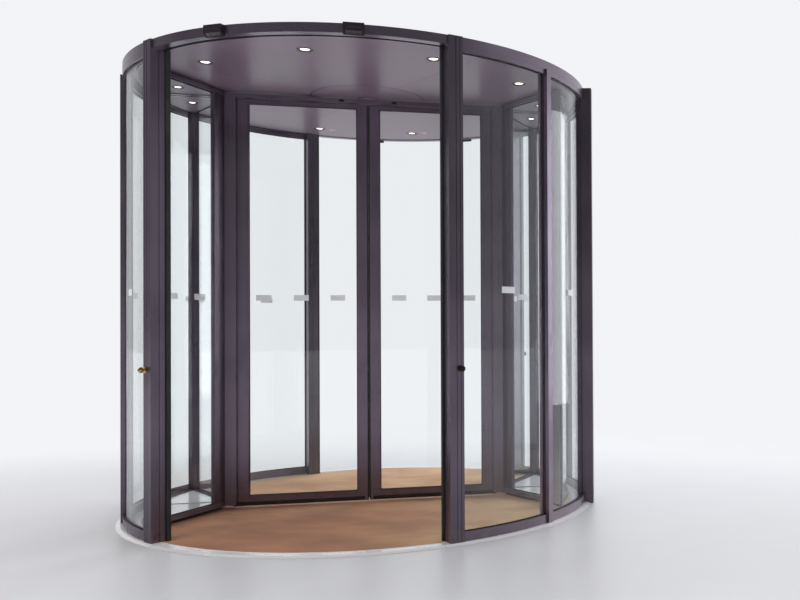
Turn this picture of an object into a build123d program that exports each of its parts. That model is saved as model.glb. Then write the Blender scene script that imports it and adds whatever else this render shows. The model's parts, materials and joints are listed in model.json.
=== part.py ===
from build123d import *
import math
import os

# Two-wing revolving door with a sliding centre wall, in millimetres.
# The origin is the centre of the drum on the floor, +Z is up and -Y is the lobby side.
# Angles of the drum are counted from the lobby side towards +X.

# Whole door
CANOPY_TOP = 3336.0
ROTOR_ANGLE = 15.5
RUN_GAP = 6.0
SEAT_GAP = 0.3
OVERCUT = 1.0

# Floor
MAT_THICKNESS = 12.0
MAT_CLEARANCE = 1.0
RING_SETBACK = 65.0
RING_FLAT = 67.0
RING_RAMP = 28.0
RING_EDGE = 2.5

# Drum wall
POST_OUTER_RADIUS = 1770.0
POST_DEPTH = 135.0
POST_WIDTH = 100.0
OPENING_HALF_ANGLE = 33.9
FACE_GROOVE_PLACES = (50.0, 78.0)
SIDE_GROOVE_PLACES = (56.0, 96.0)
GROOVE_WIDTH = 5.0
GROOVE_DEPTH = 4.0
MULLION_DEPTH = 80.0
MULLION_WIDTH = 50.0
MULLION_ANGLE = 62.5
JAMB_DEPTH = 122.0
JAMB_WIDTH = 85.0
JAMB_PROUD = 52.0
JAMB_CHANNEL_WIDTH = 22.0
JAMB_CHANNEL_DEPTH = 14.0
WALL_SETBACK = 40.0
WALL_GLASS_THICKNESS = 12.0
WALL_RAIL_DEPTH = 48.0
WALL_BOTTOM_RAIL = 62.0
WALL_TOP_RAIL = 36.0
GLAZING_BITE = 14.0
GLAZING_GAP = 2.0
SAFETY_EDGE_THICKNESS = 14.0
SAFETY_EDGE_DEPTH = 30.0
SAFETY_EDGE_SETBACK = 4.0
SAFETY_EDGE_ROUND = 6.0
KNOB_HEIGHT = 1150.0
KNOB_OFFSET = 76.0
KNOB_RADIUS = 17.0
KNOB_LENGTH = 30.0
KNOB_NECK_LENGTH = 14.0
KNOB_NECK_RADIUS = 8.0
KNOB_ROUND = 4.0

# Canopy
FASCIA_SETBACK = 15.0
FASCIA_DEPTH = 101.0
FASCIA_HEIGHT = 61.0
LIP_WIDTH = 60.0
SLOT_WIDTH = 31.0
SLOT_DEPTH = 18.0
SOFFIT_RISE = 2.0
SOFFIT_THICKNESS = 10.0
LEDGE_WIDTH = 24.0
LEDGE_THICKNESS = 6.0
ROOF_THICKNESS = 10.0
DOWNLIGHT_RADIUS = 45.0
DOWNLIGHT_RIM = 8.0
DOWNLIGHT_CAN = 24.0
DOWNLIGHT_RECESS = 9.0
DOWNLIGHT_LIP = 2.0
DOWNLIGHT_INSET = 408.0
DOWNLIGHTS = 10
SENSOR_WIDTH = 130.0
SENSOR_HEIGHT = 72.0
SENSOR_DEPTH = 42.0
SENSOR_DROP = 13.0
SENSOR_BEVEL = 24.0
SENSOR_ANGLE = 14.5

# Drive at the head
DISC_RADIUS = 440.0
DISC_GAP = 8.0
NECK_RADIUS = 80.0
SHAFT_RADIUS = 45.0
COLLAR_RADIUS = 78.0
COLLAR_HEIGHT = 22.0
BEARING_RADIUS = 130.0
BEARING_HEIGHT = 46.0
HOUSING_RADIUS = 300.0
HOUSING_HEIGHT = 140.0
HOUSING_WALL = 6.0
HOUSING_FLANGE = 26.0

# Rotor
WING_HALF_ANGLE = 26.5
WING_BAND = 42.0
WING_DEPTH = 616.0
BRUSH_REACH = 18.0
BRUSH_THICKNESS = 12.0
FLOOR_BRUSH = 22.0
HEAD_BRUSH = 6.5
HEAD_GAP = 5.5
BEAM_WIDTH = 90.0
BEAM_HEIGHT = 36.0
BEAM_WALL = 6.0
TRACK_CAVITY = 64.0
TRACK_SLOT = 24.0
APEX_LENGTH = 82.0
APEX_THICKNESS = 45.0
CORNER_ZONE = 94.0
WING_BOTTOM_RAIL = 34.0
WING_TOP_RAIL = 30.0
WING_GLASS_INSET = 16.0
WING_GLASS_THICKNESS = 10.0
WING_PLATE_THICKNESS = 12.0
WING_PLATE_RISE = 10.0
WING_CEILING_THICKNESS = 8.0
WING_LIGHT_RADIUS = 38.0
WING_LIGHT_INSET = 241.0
WING_LIGHT_OFFSET = 250.0
WING_LIGHT_DEPTH = 14.0

# Sliding leaves
LEAF_THICKNESS = 40.0
LEAF_MEETING_GAP = 5.0
LEAF_LAP = 34.0
LEAF_STILE = 88.0
LEAF_BOTTOM_RAIL = 61.0
LEAF_TOP_RAIL = 31.0
LEAF_GLASS = 10.0
LEAF_TOP_GAP = 6.0
LEAF_SIDE_GAP = 7.0
LEAF_REBATE = 8.0
LEAF_REBATE_DEPTH = 9.0
TROLLEY_LENGTH = 70.0
TROLLEY_WIDTH = 50.0
TROLLEY_HEIGHT = 18.0
TROLLEY_STEM = 12.0
TROLLEY_INSET = 130.0

# Worked out from the sizes above
POST_INNER_RADIUS = POST_OUTER_RADIUS - POST_DEPTH
JAMB_OUTER_RADIUS = POST_OUTER_RADIUS + JAMB_PROUD
JAMB_INNER_RADIUS = JAMB_OUTER_RADIUS - JAMB_DEPTH
WALL_GLASS_RADIUS = POST_OUTER_RADIUS - WALL_SETBACK
RING_INNER_RADIUS = POST_OUTER_RADIUS - RING_SETBACK
RING_FLAT_RADIUS = RING_INNER_RADIUS + RING_FLAT
RING_OUTER_RADIUS = RING_FLAT_RADIUS + RING_RAMP
FASCIA_OUTER_RADIUS = POST_OUTER_RADIUS - FASCIA_SETBACK
FASCIA_INNER_RADIUS = FASCIA_OUTER_RADIUS - FASCIA_DEPTH
FASCIA_BOTTOM = CANOPY_TOP - FASCIA_HEIGHT
SOFFIT_Z = FASCIA_BOTTOM + SOFFIT_RISE
SOFFIT_TOP = SOFFIT_Z + SOFFIT_THICKNESS
ROOF_Z = CANOPY_TOP - ROOF_THICKNESS
DOWNLIGHT_CIRCLE = POST_OUTER_RADIUS - DOWNLIGHT_INSET
POST_SPAN = math.degrees(POST_WIDTH / POST_OUTER_RADIUS)
MULLION_SPAN = math.degrees(MULLION_WIDTH / WALL_GLASS_RADIUS)
JAMB_SPAN = math.degrees((JAMB_WIDTH - 2 * OVERCUT) / JAMB_OUTER_RADIUS)
WALL_START = OPENING_HALF_ANGLE + POST_SPAN
ROTOR_TOP = SOFFIT_Z - HEAD_GAP - HEAD_BRUSH
ROTOR_BOTTOM = MAT_THICKNESS + RUN_GAP + FLOOR_BRUSH
BRUSH_RADIUS = POST_INNER_RADIUS - RUN_GAP
WING_RADIUS = BRUSH_RADIUS - BRUSH_REACH
WING_INNER_RADIUS = WING_RADIUS - WING_BAND
WING_LIGHT_REACH = WING_RADIUS - WING_LIGHT_INSET
APEX_INNER = WING_RADIUS - WING_DEPTH
APEX_OUTER = APEX_INNER + APEX_LENGTH
POCKET_HALF = LEAF_THICKNESS / 2 + LEAF_SIDE_GAP
APEX_SIDE = POCKET_HALF + APEX_THICKNESS
BEAM_Z = ROTOR_TOP - BEAM_HEIGHT
LEAF_TOP = BEAM_Z - LEAF_TOP_GAP
LEAF_OUTER = APEX_INNER + LEAF_LAP


def arc_face(inner, outer, start, stop):
    """A flat ring sector between two drum angles."""
    turn = start - 90.0
    sweep_angle = stop - start
    far = CenterArc((0, 0), outer, turn, sweep_angle)
    near = CenterArc((0, 0), inner, turn, sweep_angle)
    return make_face([far, Line(far @ 1, near @ 1), near, Line(near @ 0, far @ 0)])


def arc_block(inner, outer, low, high, start, stop):
    """A ring sector with a height."""
    return Pos(0, 0, low) * extrude(arc_face(inner, outer, start, stop), high - low)


def disc(radius, low, high):
    """A round plate about the drum's axis."""
    return Pos(0, 0, low) * extrude(Circle(radius), high - low)


def ring_section(outline, start, stop):
    """Sweep a section of radius and height points about the drum's axis."""
    section = Plane.XZ * make_face(Polyline(*outline, close=True))
    return Rot(0, 0, start - 90.0) * revolve(section, Axis.Z, stop - start)


def block(x_range, y_range, z_range):
    """A box given by its limits."""
    size = [high - low for low, high in (x_range, y_range, z_range)]
    middle = [(high + low) / 2 for low, high in (x_range, y_range, z_range)]
    return Pos(*middle) * Box(*size)


def at_angle(angle, radius, height=0.0):
    """A place on the drum whose local X points outwards."""
    return Rot(0, 0, angle - 90.0) * Pos(radius, 0, height)


def half_turn(shape):
    """The same piece on the opposite side of the drum."""
    return Rot(0, 0, 180) * shape


def in_rotor(shape):
    """Turn a piece drawn along X into the parked rotor."""
    return Rot(0, 0, ROTOR_ANGLE) * shape


def write(name, *shapes):
    """Write one named piece."""
    solids = [solid for shape in shapes for solid in shape.solids()]
    export_step(solids[0] if len(solids) == 1 else Compound(children=solids), f"parts/{name}.step")


def end_posts():
    """Name, opening edge and direction away from the opening of the four end posts."""
    return [
        ("inner_right_post", OPENING_HALF_ANGLE, 1),
        ("inner_left_post", -OPENING_HALF_ANGLE, -1),
        ("outer_left_post", 180.0 + OPENING_HALF_ANGLE, 1),
        ("outer_right_post", 180.0 - OPENING_HALF_ANGLE, -1),
    ]


def jamb_block(middle, gap, low, high):
    """The space of a jamb, which is square to the facade, widened by a gap."""
    half = JAMB_WIDTH / 2 + gap
    return at_angle(middle, 0) * block((JAMB_INNER_RADIUS - gap, JAMB_OUTER_RADIUS), (-half, half), (low, high))


def wall_bays(side_turn):
    """The four glazed bays of one wall, between posts and mullions and just into the jamb."""
    half = MULLION_SPAN / 2
    jamb_start, jamb_stop = 90.0 - JAMB_SPAN / 2, 90.0 + JAMB_SPAN / 2
    marks = [
        (WALL_START, MULLION_ANGLE - half),
        (MULLION_ANGLE + half, jamb_start),
        (jamb_stop, 180.0 - MULLION_ANGLE - half),
        (180.0 - MULLION_ANGLE + half, 180.0 - WALL_START),
    ]
    return [(start + side_turn, stop + side_turn) for start, stop in marks]


def make_floor():
    """The ramped ring with the sole plates of the walls, and the mat inside."""
    ring = ring_section([
        (RING_INNER_RADIUS, 0), (RING_OUTER_RADIUS, 0), (RING_OUTER_RADIUS, RING_EDGE),
        (RING_FLAT_RADIUS, MAT_THICKNESS), (RING_INNER_RADIUS, MAT_THICKNESS),
    ], 0, 360)
    mat = disc(RING_INNER_RADIUS - MAT_CLEARANCE, 0, MAT_THICKNESS)
    for turn in (0.0, 180.0):
        limits = (OPENING_HALF_ANGLE + turn, 180.0 - OPENING_HALF_ANGLE + turn)
        ring += arc_block(POST_INNER_RADIUS, RING_INNER_RADIUS + MAT_CLEARANCE, 0, MAT_THICKNESS, *limits)
        mat -= arc_block(POST_INNER_RADIUS - MAT_CLEARANCE, RING_INNER_RADIUS, 0, MAT_THICKNESS, *limits)
        ring -= jamb_block(90.0 + turn, SEAT_GAP, 0, MAT_THICKNESS)
    write("floor_ring", ring)
    write("floor_mat", mat)


def groove_in_arc(radius, depth, angle, direction, place):
    """Plan of a groove in the outer or inner face of an upright, counted from its opening edge."""
    first = angle + direction * math.degrees((place - GROOVE_WIDTH / 2) / POST_OUTER_RADIUS)
    last = angle + direction * math.degrees((place + GROOVE_WIDTH / 2) / POST_OUTER_RADIUS)
    near, far = sorted((radius, radius + depth))
    return arc_face(near, far, *sorted((first, last)))


def end_post(angle, direction):
    """An end post with grooves on its outer, inner and opening faces."""
    far_edge = angle + direction * POST_SPAN
    plan = arc_face(POST_INNER_RADIUS, POST_OUTER_RADIUS, *sorted((angle, far_edge)))
    for place in FACE_GROOVE_PLACES:
        plan -= groove_in_arc(POST_OUTER_RADIUS + OVERCUT, -GROOVE_DEPTH - OVERCUT, angle, direction, place)
        plan -= groove_in_arc(POST_INNER_RADIUS - OVERCUT, GROOVE_DEPTH + OVERCUT, angle, direction, place)
    for place in SIDE_GROOVE_PLACES:
        middle = POST_OUTER_RADIUS - place
        cut = direction * math.degrees(GROOVE_DEPTH / middle)
        over = direction * math.degrees(OVERCUT / middle)
        limits = sorted((angle - over, angle + cut))
        plan -= arc_face(middle - GROOVE_WIDTH / 2, middle + GROOVE_WIDTH / 2, *limits)
    return Pos(0, 0, MAT_THICKNESS) * extrude(plan, CANOPY_TOP - MAT_THICKNESS)


def jamb(middle):
    """A jamb on the floor with the channel that the facade's glazing stands in."""
    reach = (JAMB_OUTER_RADIUS - JAMB_CHANNEL_DEPTH, JAMB_OUTER_RADIUS)
    channel = block(reach, (-JAMB_CHANNEL_WIDTH / 2, JAMB_CHANNEL_WIDTH / 2), (0, CANOPY_TOP))
    return jamb_block(middle, 0, 0, CANOPY_TOP) - at_angle(middle, 0) * channel


def glazing_slot(start, stop, low, high):
    """The space that the curved glass and its bedding need in a rail."""
    half = WALL_GLASS_THICKNESS / 2 + GLAZING_GAP
    return arc_block(WALL_GLASS_RADIUS - half, WALL_GLASS_RADIUS + half, low, high, start, stop)


def make_posts():
    """End posts, jambs and mullions."""
    for name, angle, direction in end_posts():
        write(name, end_post(angle, direction))
    write("right_jamb_post", jamb(90.0))
    write("left_jamb_post", jamb(270.0))
    inner = WALL_GLASS_RADIUS - MULLION_DEPTH / 2
    outer = WALL_GLASS_RADIUS + MULLION_DEPTH / 2
    half = MULLION_SPAN / 2
    for name, turn in (("right_mullions", 0.0), ("left_mullions", 180.0)):
        uprights = [
            arc_block(inner, outer, MAT_THICKNESS, FASCIA_BOTTOM, middle - half + turn, middle + half + turn)
            for middle in (MULLION_ANGLE, 180.0 - MULLION_ANGLE)
        ]
        write(name, *uprights)


def safety_edge(angle, direction):
    """A rubber nose on the opening face of an end post, near its inner corner."""
    near = POST_INNER_RADIUS + SAFETY_EDGE_SETBACK
    far = near + SAFETY_EDGE_DEPTH
    span = math.degrees(SAFETY_EDGE_THICKNESS / near)
    face = arc_face(near, far, *sorted((angle, angle - direction * span)))
    middle = math.radians(angle - 90.0)
    along = Vector(-math.sin(middle), math.cos(middle), 0) * -direction
    nose = face.vertices().sort_by(lambda v: Vector(v.X, v.Y, v.Z).dot(along))[-2:]
    face = fillet(nose, SAFETY_EDGE_ROUND)
    return Pos(0, 0, MAT_THICKNESS) * extrude(face, FASCIA_BOTTOM - MAT_THICKNESS)


def lock_knob(angle):
    """A turned knob on the outer face of an end post."""
    axis = at_angle(angle, POST_OUTER_RADIUS, KNOB_HEIGHT) * Rot(0, 90, 0)
    head_length = KNOB_LENGTH - KNOB_NECK_LENGTH
    neck = Pos(0, 0, KNOB_NECK_LENGTH / 2) * Cylinder(KNOB_NECK_RADIUS, KNOB_NECK_LENGTH)
    head = Pos(0, 0, KNOB_NECK_LENGTH + head_length / 2) * Cylinder(KNOB_RADIUS, head_length)
    head = fillet(head.edges().filter_by(GeomType.CIRCLE), KNOB_ROUND)
    return axis * (neck + head)


def make_trim():
    """Rubber edges and lock knobs of the four end posts."""
    turn = math.degrees(KNOB_OFFSET / POST_OUTER_RADIUS)
    write("safety_edges", *[safety_edge(angle, direction) for name, angle, direction in end_posts()])
    write("lock_knobs", *[lock_knob(angle + direction * turn) for name, angle, direction in end_posts()])


def make_walls():
    """Curved rails and curved glass of the two walls."""
    half_rail = WALL_RAIL_DEPTH / 2
    half_glass = WALL_GLASS_THICKNESS / 2
    inner, outer = WALL_GLASS_RADIUS - half_rail, WALL_GLASS_RADIUS + half_rail
    bottom_top = MAT_THICKNESS + WALL_BOTTOM_RAIL
    top_bottom = FASCIA_BOTTOM - WALL_TOP_RAIL
    for side, turn in (("right", 0.0), ("left", 180.0)):
        bottoms, tops, panes = [], [], []
        jamb_space = jamb_block(90.0 + turn, 0, 0, CANOPY_TOP)
        for start, stop in wall_bays(turn):
            rail = arc_block(inner, outer, MAT_THICKNESS, bottom_top, start, stop)
            bottoms.append(rail - glazing_slot(start, stop, bottom_top - GLAZING_BITE, bottom_top))
            rail = arc_block(inner, outer, top_bottom, FASCIA_BOTTOM, start, stop)
            tops.append(rail - glazing_slot(start, stop, top_bottom, top_bottom + GLAZING_BITE))
            panes.append(arc_block(
                WALL_GLASS_RADIUS - half_glass, WALL_GLASS_RADIUS + half_glass,
                bottom_top - GLAZING_BITE, top_bottom + GLAZING_BITE - GLAZING_GAP, start, stop))
        write(f"{side}_wall_bottom_rail", *[rail - jamb_space for rail in bottoms])
        write(f"{side}_wall_top_rail", *[rail - jamb_space for rail in tops])
        write(f"{side}_wall_glass", *[pane - jamb_space for pane in panes])


def fascia(start, stop):
    """A stretch of the canopy's edge: a broad lip, a shadow slot and the ledge over the soffit."""
    low, high = FASCIA_BOTTOM, CANOPY_TOP
    inner, outer = FASCIA_INNER_RADIUS, FASCIA_OUTER_RADIUS
    slot_outer = outer - LIP_WIDTH
    slot_inner = slot_outer - SLOT_WIDTH
    ledge_low = SOFFIT_TOP + SEAT_GAP
    ledge_high = ledge_low + LEDGE_THICKNESS
    outline = [
        (inner, low), (slot_inner, low), (slot_inner, low + SLOT_DEPTH), (slot_outer, low + SLOT_DEPTH),
        (slot_outer, low), (outer, low), (outer, high), (inner, high),
        (inner, ledge_high), (inner - LEDGE_WIDTH, ledge_high), (inner - LEDGE_WIDTH, ledge_low), (inner, ledge_low),
    ]
    return ring_section(outline, start, stop)


def make_canopy():
    """Fascia, soffit, roof and the pieces set in them."""
    write("inner_fascia", fascia(-OPENING_HALF_ANGLE, OPENING_HALF_ANGLE))
    write("outer_fascia", fascia(180.0 - OPENING_HALF_ANGLE, 180.0 + OPENING_HALF_ANGLE))
    for side, turn in (("right", 0.0), ("left", 180.0)):
        stretch = fascia(WALL_START + turn, 180.0 - WALL_START + turn)
        stretch -= jamb_block(90.0 + turn, SEAT_GAP, FASCIA_BOTTOM, CANOPY_TOP)
        write(f"{side}_fascia", stretch)
    plate_radius = FASCIA_INNER_RADIUS - SEAT_GAP
    soffit = disc(plate_radius, SOFFIT_Z, SOFFIT_TOP)
    soffit -= disc(DISC_RADIUS + DISC_GAP, SOFFIT_Z, SOFFIT_TOP)
    roof = disc(plate_radius, ROOF_Z, CANOPY_TOP) - disc(SHAFT_RADIUS + RUN_GAP, ROOF_Z, CANOPY_TOP)
    for name, angle, direction in end_posts():
        limits = sorted((angle, angle + direction * POST_SPAN))
        notch = (POST_INNER_RADIUS - SEAT_GAP, POST_OUTER_RADIUS)
        soffit -= arc_block(*notch, SOFFIT_Z, SOFFIT_TOP, *limits)
        roof -= arc_block(*notch, ROOF_Z, CANOPY_TOP, *limits)
    lights = []
    for count in range(DOWNLIGHTS):
        place = at_angle(count * 360.0 / DOWNLIGHTS, DOWNLIGHT_CIRCLE, SOFFIT_Z)
        soffit -= place * Pos(0, 0, SOFFIT_THICKNESS / 2) * Cylinder(DOWNLIGHT_RADIUS, SOFFIT_THICKNESS)
        lights.append(place * downlight(DOWNLIGHT_RADIUS, DOWNLIGHT_CAN, DOWNLIGHT_RECESS))
    write("canopy_soffit", soffit)
    write("canopy_roof", roof)
    write("canopy_downlights", *lights)
    write("motion_sensors", *[sensor(angle + turn) for turn in (0.0, 180.0) for angle in (-SENSOR_ANGLE, SENSOR_ANGLE)])


def downlight(radius, height, recess):
    """A recessed round lamp whose rim laps the plate it hangs in."""
    can_radius = radius - SEAT_GAP
    mouth = can_radius - DOWNLIGHT_RIM / 2
    depth = recess + DOWNLIGHT_LIP
    can = Pos(0, 0, height / 2) * Cylinder(can_radius, height)
    lip = Pos(0, 0, -DOWNLIGHT_LIP / 2) * Cylinder(radius + DOWNLIGHT_RIM, DOWNLIGHT_LIP)
    well = Pos(0, 0, depth / 2 - DOWNLIGHT_LIP) * Cone(mouth, mouth - DOWNLIGHT_RIM, depth)
    return can + lip - well


def sensor(angle):
    """A presence sensor fixed to the face of the fascia, with its lower front edge cut back."""
    low = FASCIA_BOTTOM - SENSOR_DROP
    body = Pos(SENSOR_DEPTH / 2, 0, 0) * Box(SENSOR_DEPTH, SENSOR_WIDTH, SENSOR_HEIGHT)
    front = body.edges().filter_by(Axis.Y).sort_by(Axis.X)[-2:]
    body = chamfer(front.sort_by(Axis.Z)[0], SENSOR_BEVEL)
    body = at_angle(angle, FASCIA_OUTER_RADIUS - GROOVE_DEPTH, low + SENSOR_HEIGHT / 2) * body
    return body - disc(FASCIA_OUTER_RADIUS, 0, CANOPY_TOP)


def make_drive():
    """The drive on the roof and the rotor's shaft that hangs in it."""
    bearing_top = CANOPY_TOP + BEARING_HEIGHT
    bearing = disc(BEARING_RADIUS, CANOPY_TOP, bearing_top)
    bearing -= disc(SHAFT_RADIUS + SEAT_GAP, CANOPY_TOP, bearing_top)
    lid = CANOPY_TOP + HOUSING_HEIGHT
    cover = disc(HOUSING_RADIUS, CANOPY_TOP, lid)
    cover -= disc(HOUSING_RADIUS - HOUSING_WALL, CANOPY_TOP, lid - HOUSING_WALL)
    flange = disc(HOUSING_RADIUS + HOUSING_FLANGE, CANOPY_TOP, CANOPY_TOP + HOUSING_WALL)
    cover += flange - disc(HOUSING_RADIUS - HOUSING_WALL, CANOPY_TOP, CANOPY_TOP + HOUSING_WALL)
    write("drive_unit", bearing, cover)
    collar_low = bearing_top + SEAT_GAP
    shaft = disc(SHAFT_RADIUS, SOFFIT_TOP, collar_low)
    shaft += disc(COLLAR_RADIUS, collar_low, collar_low + COLLAR_HEIGHT)
    head = disc(DISC_RADIUS, SOFFIT_Z, SOFFIT_TOP)
    neck = disc(NECK_RADIUS, ROTOR_TOP, SOFFIT_Z)
    write("rotor_head", shaft + head + neck)


def wing_face(inset):
    """Plan of a showcase, drawn towards +X and drawn in by an inset."""
    angle = math.radians(WING_HALF_ANGLE)
    corner = (WING_RADIUS * math.cos(angle), WING_RADIUS * math.sin(angle))
    apex = (APEX_OUTER, APEX_SIDE)
    arc = CenterArc((0, 0), WING_RADIUS, -WING_HALF_ANGLE, 2 * WING_HALF_ANGLE)
    sides = Polyline(corner, apex, (apex[0], -apex[1]), (corner[0], -corner[1]))
    face = make_face([arc, *sides.edges()])
    return offset(face, -inset, kind=Kind.INTERSECTION) if inset else face


def corner_zones():
    """Plan of the two corner posts before they are trimmed to the showcase."""
    angle = math.radians(WING_HALF_ANGLE)
    x, y = WING_RADIUS * math.cos(angle), WING_RADIUS * math.sin(angle)
    return Pos(x, y) * Circle(CORNER_ZONE) + Pos(x, -y) * Circle(CORNER_ZONE)


def strip(start, stop, half):
    """Plan of a straight strip along the rotor's wall."""
    return Pos((start + stop) / 2, 0) * Rectangle(stop - start, 2 * half)


def raise_face(face, low, high):
    """Extrude a plan between two heights."""
    return Pos(0, 0, low) * extrude(face, high - low)


def make_wing(side):
    """One glazed showcase with its posts, rails, plates, glass and lamps."""
    turn = half_turn if side == "left" else (lambda shape: shape)
    low, high = ROTOR_BOTTOM, ROTOR_TOP
    whole = wing_face(0)
    pocket = strip(APEX_OUTER - OVERCUT, WING_INNER_RADIUS, POCKET_HALF)
    beam = strip(APEX_OUTER - OVERCUT, WING_INNER_RADIUS, BEAM_WIDTH / 2)
    band = whole - wing_face(WING_BAND) - corner_zones()
    posts = raise_face((whole & corner_zones()) - wing_face(WING_BAND), low, high)
    apex = strip(APEX_INNER, APEX_OUTER, APEX_SIDE)
    apex -= strip(APEX_INNER - OVERCUT, APEX_OUTER + OVERCUT, POCKET_HALF)
    apex_posts = raise_face(apex, low, BEAM_Z)
    write(f"{side}_showcase_posts", in_rotor(turn(posts)), in_rotor(turn(apex_posts)))
    bottom = raise_face(band - pocket, low, low + WING_BOTTOM_RAIL)
    top = raise_face(band - beam, high - WING_TOP_RAIL, high)
    write(f"{side}_showcase_rails", in_rotor(turn(bottom)), in_rotor(turn(top)))
    pane = wing_face(WING_GLASS_INSET) - wing_face(WING_GLASS_INSET + WING_GLASS_THICKNESS) - corner_zones()
    pane -= strip(APEX_OUTER - OVERCUT, APEX_OUTER + WING_BAND, BEAM_WIDTH / 2)
    glass = raise_face(pane, low + WING_BOTTOM_RAIL, high - WING_TOP_RAIL)
    write(f"{side}_showcase_glass", in_rotor(turn(glass)))
    plan = wing_face(WING_BAND + SEAT_GAP)
    floor_low = low + WING_PLATE_RISE
    floor = raise_face(plan - pocket, floor_low, floor_low + WING_PLATE_THICKNESS)
    ceiling_low = high - WING_TOP_RAIL
    ceiling_high = ceiling_low + WING_CEILING_THICKNESS
    ceiling = raise_face(plan - beam, ceiling_low, ceiling_high)
    lamps = []
    for offset_y in (-WING_LIGHT_OFFSET, WING_LIGHT_OFFSET):
        place = Pos(WING_LIGHT_REACH, offset_y, ceiling_low)
        ceiling -= place * disc(WING_LIGHT_RADIUS, 0, WING_CEILING_THICKNESS)
        lamp = place * downlight(WING_LIGHT_RADIUS, WING_LIGHT_DEPTH, WING_CEILING_THICKNESS)
        lamps.append(in_rotor(turn(lamp)))
    write(f"{side}_showcase_plates", in_rotor(turn(floor)), in_rotor(turn(ceiling)))
    return lamps


def wing_brushes(side):
    """Brush strips under, over and along the edges of one showcase."""
    turn = half_turn if side == "left" else (lambda shape: shape)
    inner = WING_GLASS_INSET + BRUSH_THICKNESS
    line = wing_face(WING_GLASS_INSET) - wing_face(inner)
    pocket = strip(APEX_OUTER - OVERCUT, APEX_OUTER + WING_BAND, POCKET_HALF)
    beam = strip(APEX_OUTER - OVERCUT, APEX_OUTER + WING_BAND, BEAM_WIDTH / 2)
    under = raise_face(line - pocket, ROTOR_BOTTOM - FLOOR_BRUSH, ROTOR_BOTTOM)
    over = raise_face(line - beam, ROTOR_TOP, ROTOR_TOP + HEAD_BRUSH)
    pieces = [under, over]
    span = math.degrees(BRUSH_THICKNESS / WING_RADIUS)
    for start in (WING_HALF_ANGLE - 2 * span, -WING_HALF_ANGLE + span):
        pieces.append(arc_block(WING_RADIUS, BRUSH_RADIUS, ROTOR_BOTTOM, ROTOR_TOP, start + 90, start + span + 90))
    return [in_rotor(turn(piece)) for piece in pieces]


def make_rotor():
    """The track beam over the centre wall and the two showcases."""
    reach = WING_INNER_RADIUS
    beam = block((-reach, reach), (-BEAM_WIDTH / 2, BEAM_WIDTH / 2), (BEAM_Z, ROTOR_TOP))
    cavity = (BEAM_Z + BEAM_WALL, ROTOR_TOP - BEAM_WALL)
    beam -= block((-reach, reach), (-TRACK_CAVITY / 2, TRACK_CAVITY / 2), cavity)
    beam -= block((-reach, reach), (-TRACK_SLOT / 2, TRACK_SLOT / 2), (BEAM_Z, cavity[0]))
    beam &= disc(reach - SEAT_GAP, BEAM_Z, ROTOR_TOP)
    write("track_beam", in_rotor(beam))
    lamps = make_wing("right") + make_wing("left")
    write("showcase_downlights", *lamps)
    brushes = wing_brushes("right") + wing_brushes("left")
    half = BRUSH_THICKNESS / 2
    for sign in (-1, 1):
        ends = sorted((sign * NECK_RADIUS, sign * APEX_OUTER))
        brushes.append(in_rotor(block(ends, (-half, half), (ROTOR_TOP, ROTOR_TOP + HEAD_BRUSH))))
    write("rotor_brushes", *brushes)


def make_leaf(side):
    """A sliding leaf of the centre wall, hung in the track by two trolleys."""
    turn = half_turn if side == "left" else (lambda shape: shape)
    start, stop = LEAF_MEETING_GAP / 2, LEAF_OUTER
    half = LEAF_THICKNESS / 2
    glass_half = LEAF_GLASS / 2
    sight_x = (start + LEAF_STILE, stop - LEAF_STILE - LEAF_LAP)
    sight_z = (ROTOR_BOTTOM + LEAF_BOTTOM_RAIL, LEAF_TOP - LEAF_TOP_RAIL)
    frame = block((start, stop), (-half, half), (ROTOR_BOTTOM, LEAF_TOP))
    frame -= block(sight_x, (-half, half), sight_z)
    wide_x = (sight_x[0] - LEAF_REBATE, sight_x[1] + LEAF_REBATE)
    wide_z = (sight_z[0] - LEAF_REBATE, sight_z[1] + LEAF_REBATE)
    for face in ((-half, LEAF_REBATE_DEPTH - half), (half - LEAF_REBATE_DEPTH, half)):
        frame -= block(wide_x, face, wide_z)
    track_floor = BEAM_Z + BEAM_WALL + SEAT_GAP
    for middle in (start + TROLLEY_INSET, stop - TROLLEY_INSET):
        ends = (middle - TROLLEY_LENGTH / 2, middle + TROLLEY_LENGTH / 2)
        stem = (-TROLLEY_STEM / 2, TROLLEY_STEM / 2)
        frame += block(ends, stem, (LEAF_TOP, track_floor))
        frame += block(ends, (-TROLLEY_WIDTH / 2, TROLLEY_WIDTH / 2), (track_floor, track_floor + TROLLEY_HEIGHT))
    glass = block(sight_x, (-glass_half, glass_half), sight_z)
    brush_half = BRUSH_THICKNESS / 2
    brush = block((start, stop), (-brush_half, brush_half), (ROTOR_BOTTOM - FLOOR_BRUSH, ROTOR_BOTTOM))
    write(f"{side}_leaf_frame", in_rotor(turn(frame)))
    write(f"{side}_leaf_glass", in_rotor(turn(glass)))
    write(f"{side}_leaf_brush", in_rotor(turn(brush)))


os.makedirs("parts", exist_ok=True)
make_floor()
make_posts()
make_trim()
make_walls()
make_canopy()
make_drive()
make_rotor()
make_leaf("right")
make_leaf("left")
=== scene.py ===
"""Dresses the revolving door with finishes, seals, brushes, lamps and fittings in a lit studio."""
import json
import math
import random
from functools import partial

import bmesh
import bpy
from bpy.props import FloatProperty, FloatVectorProperty, IntProperty, PointerProperty
from mathutils import Matrix, Vector


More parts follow.
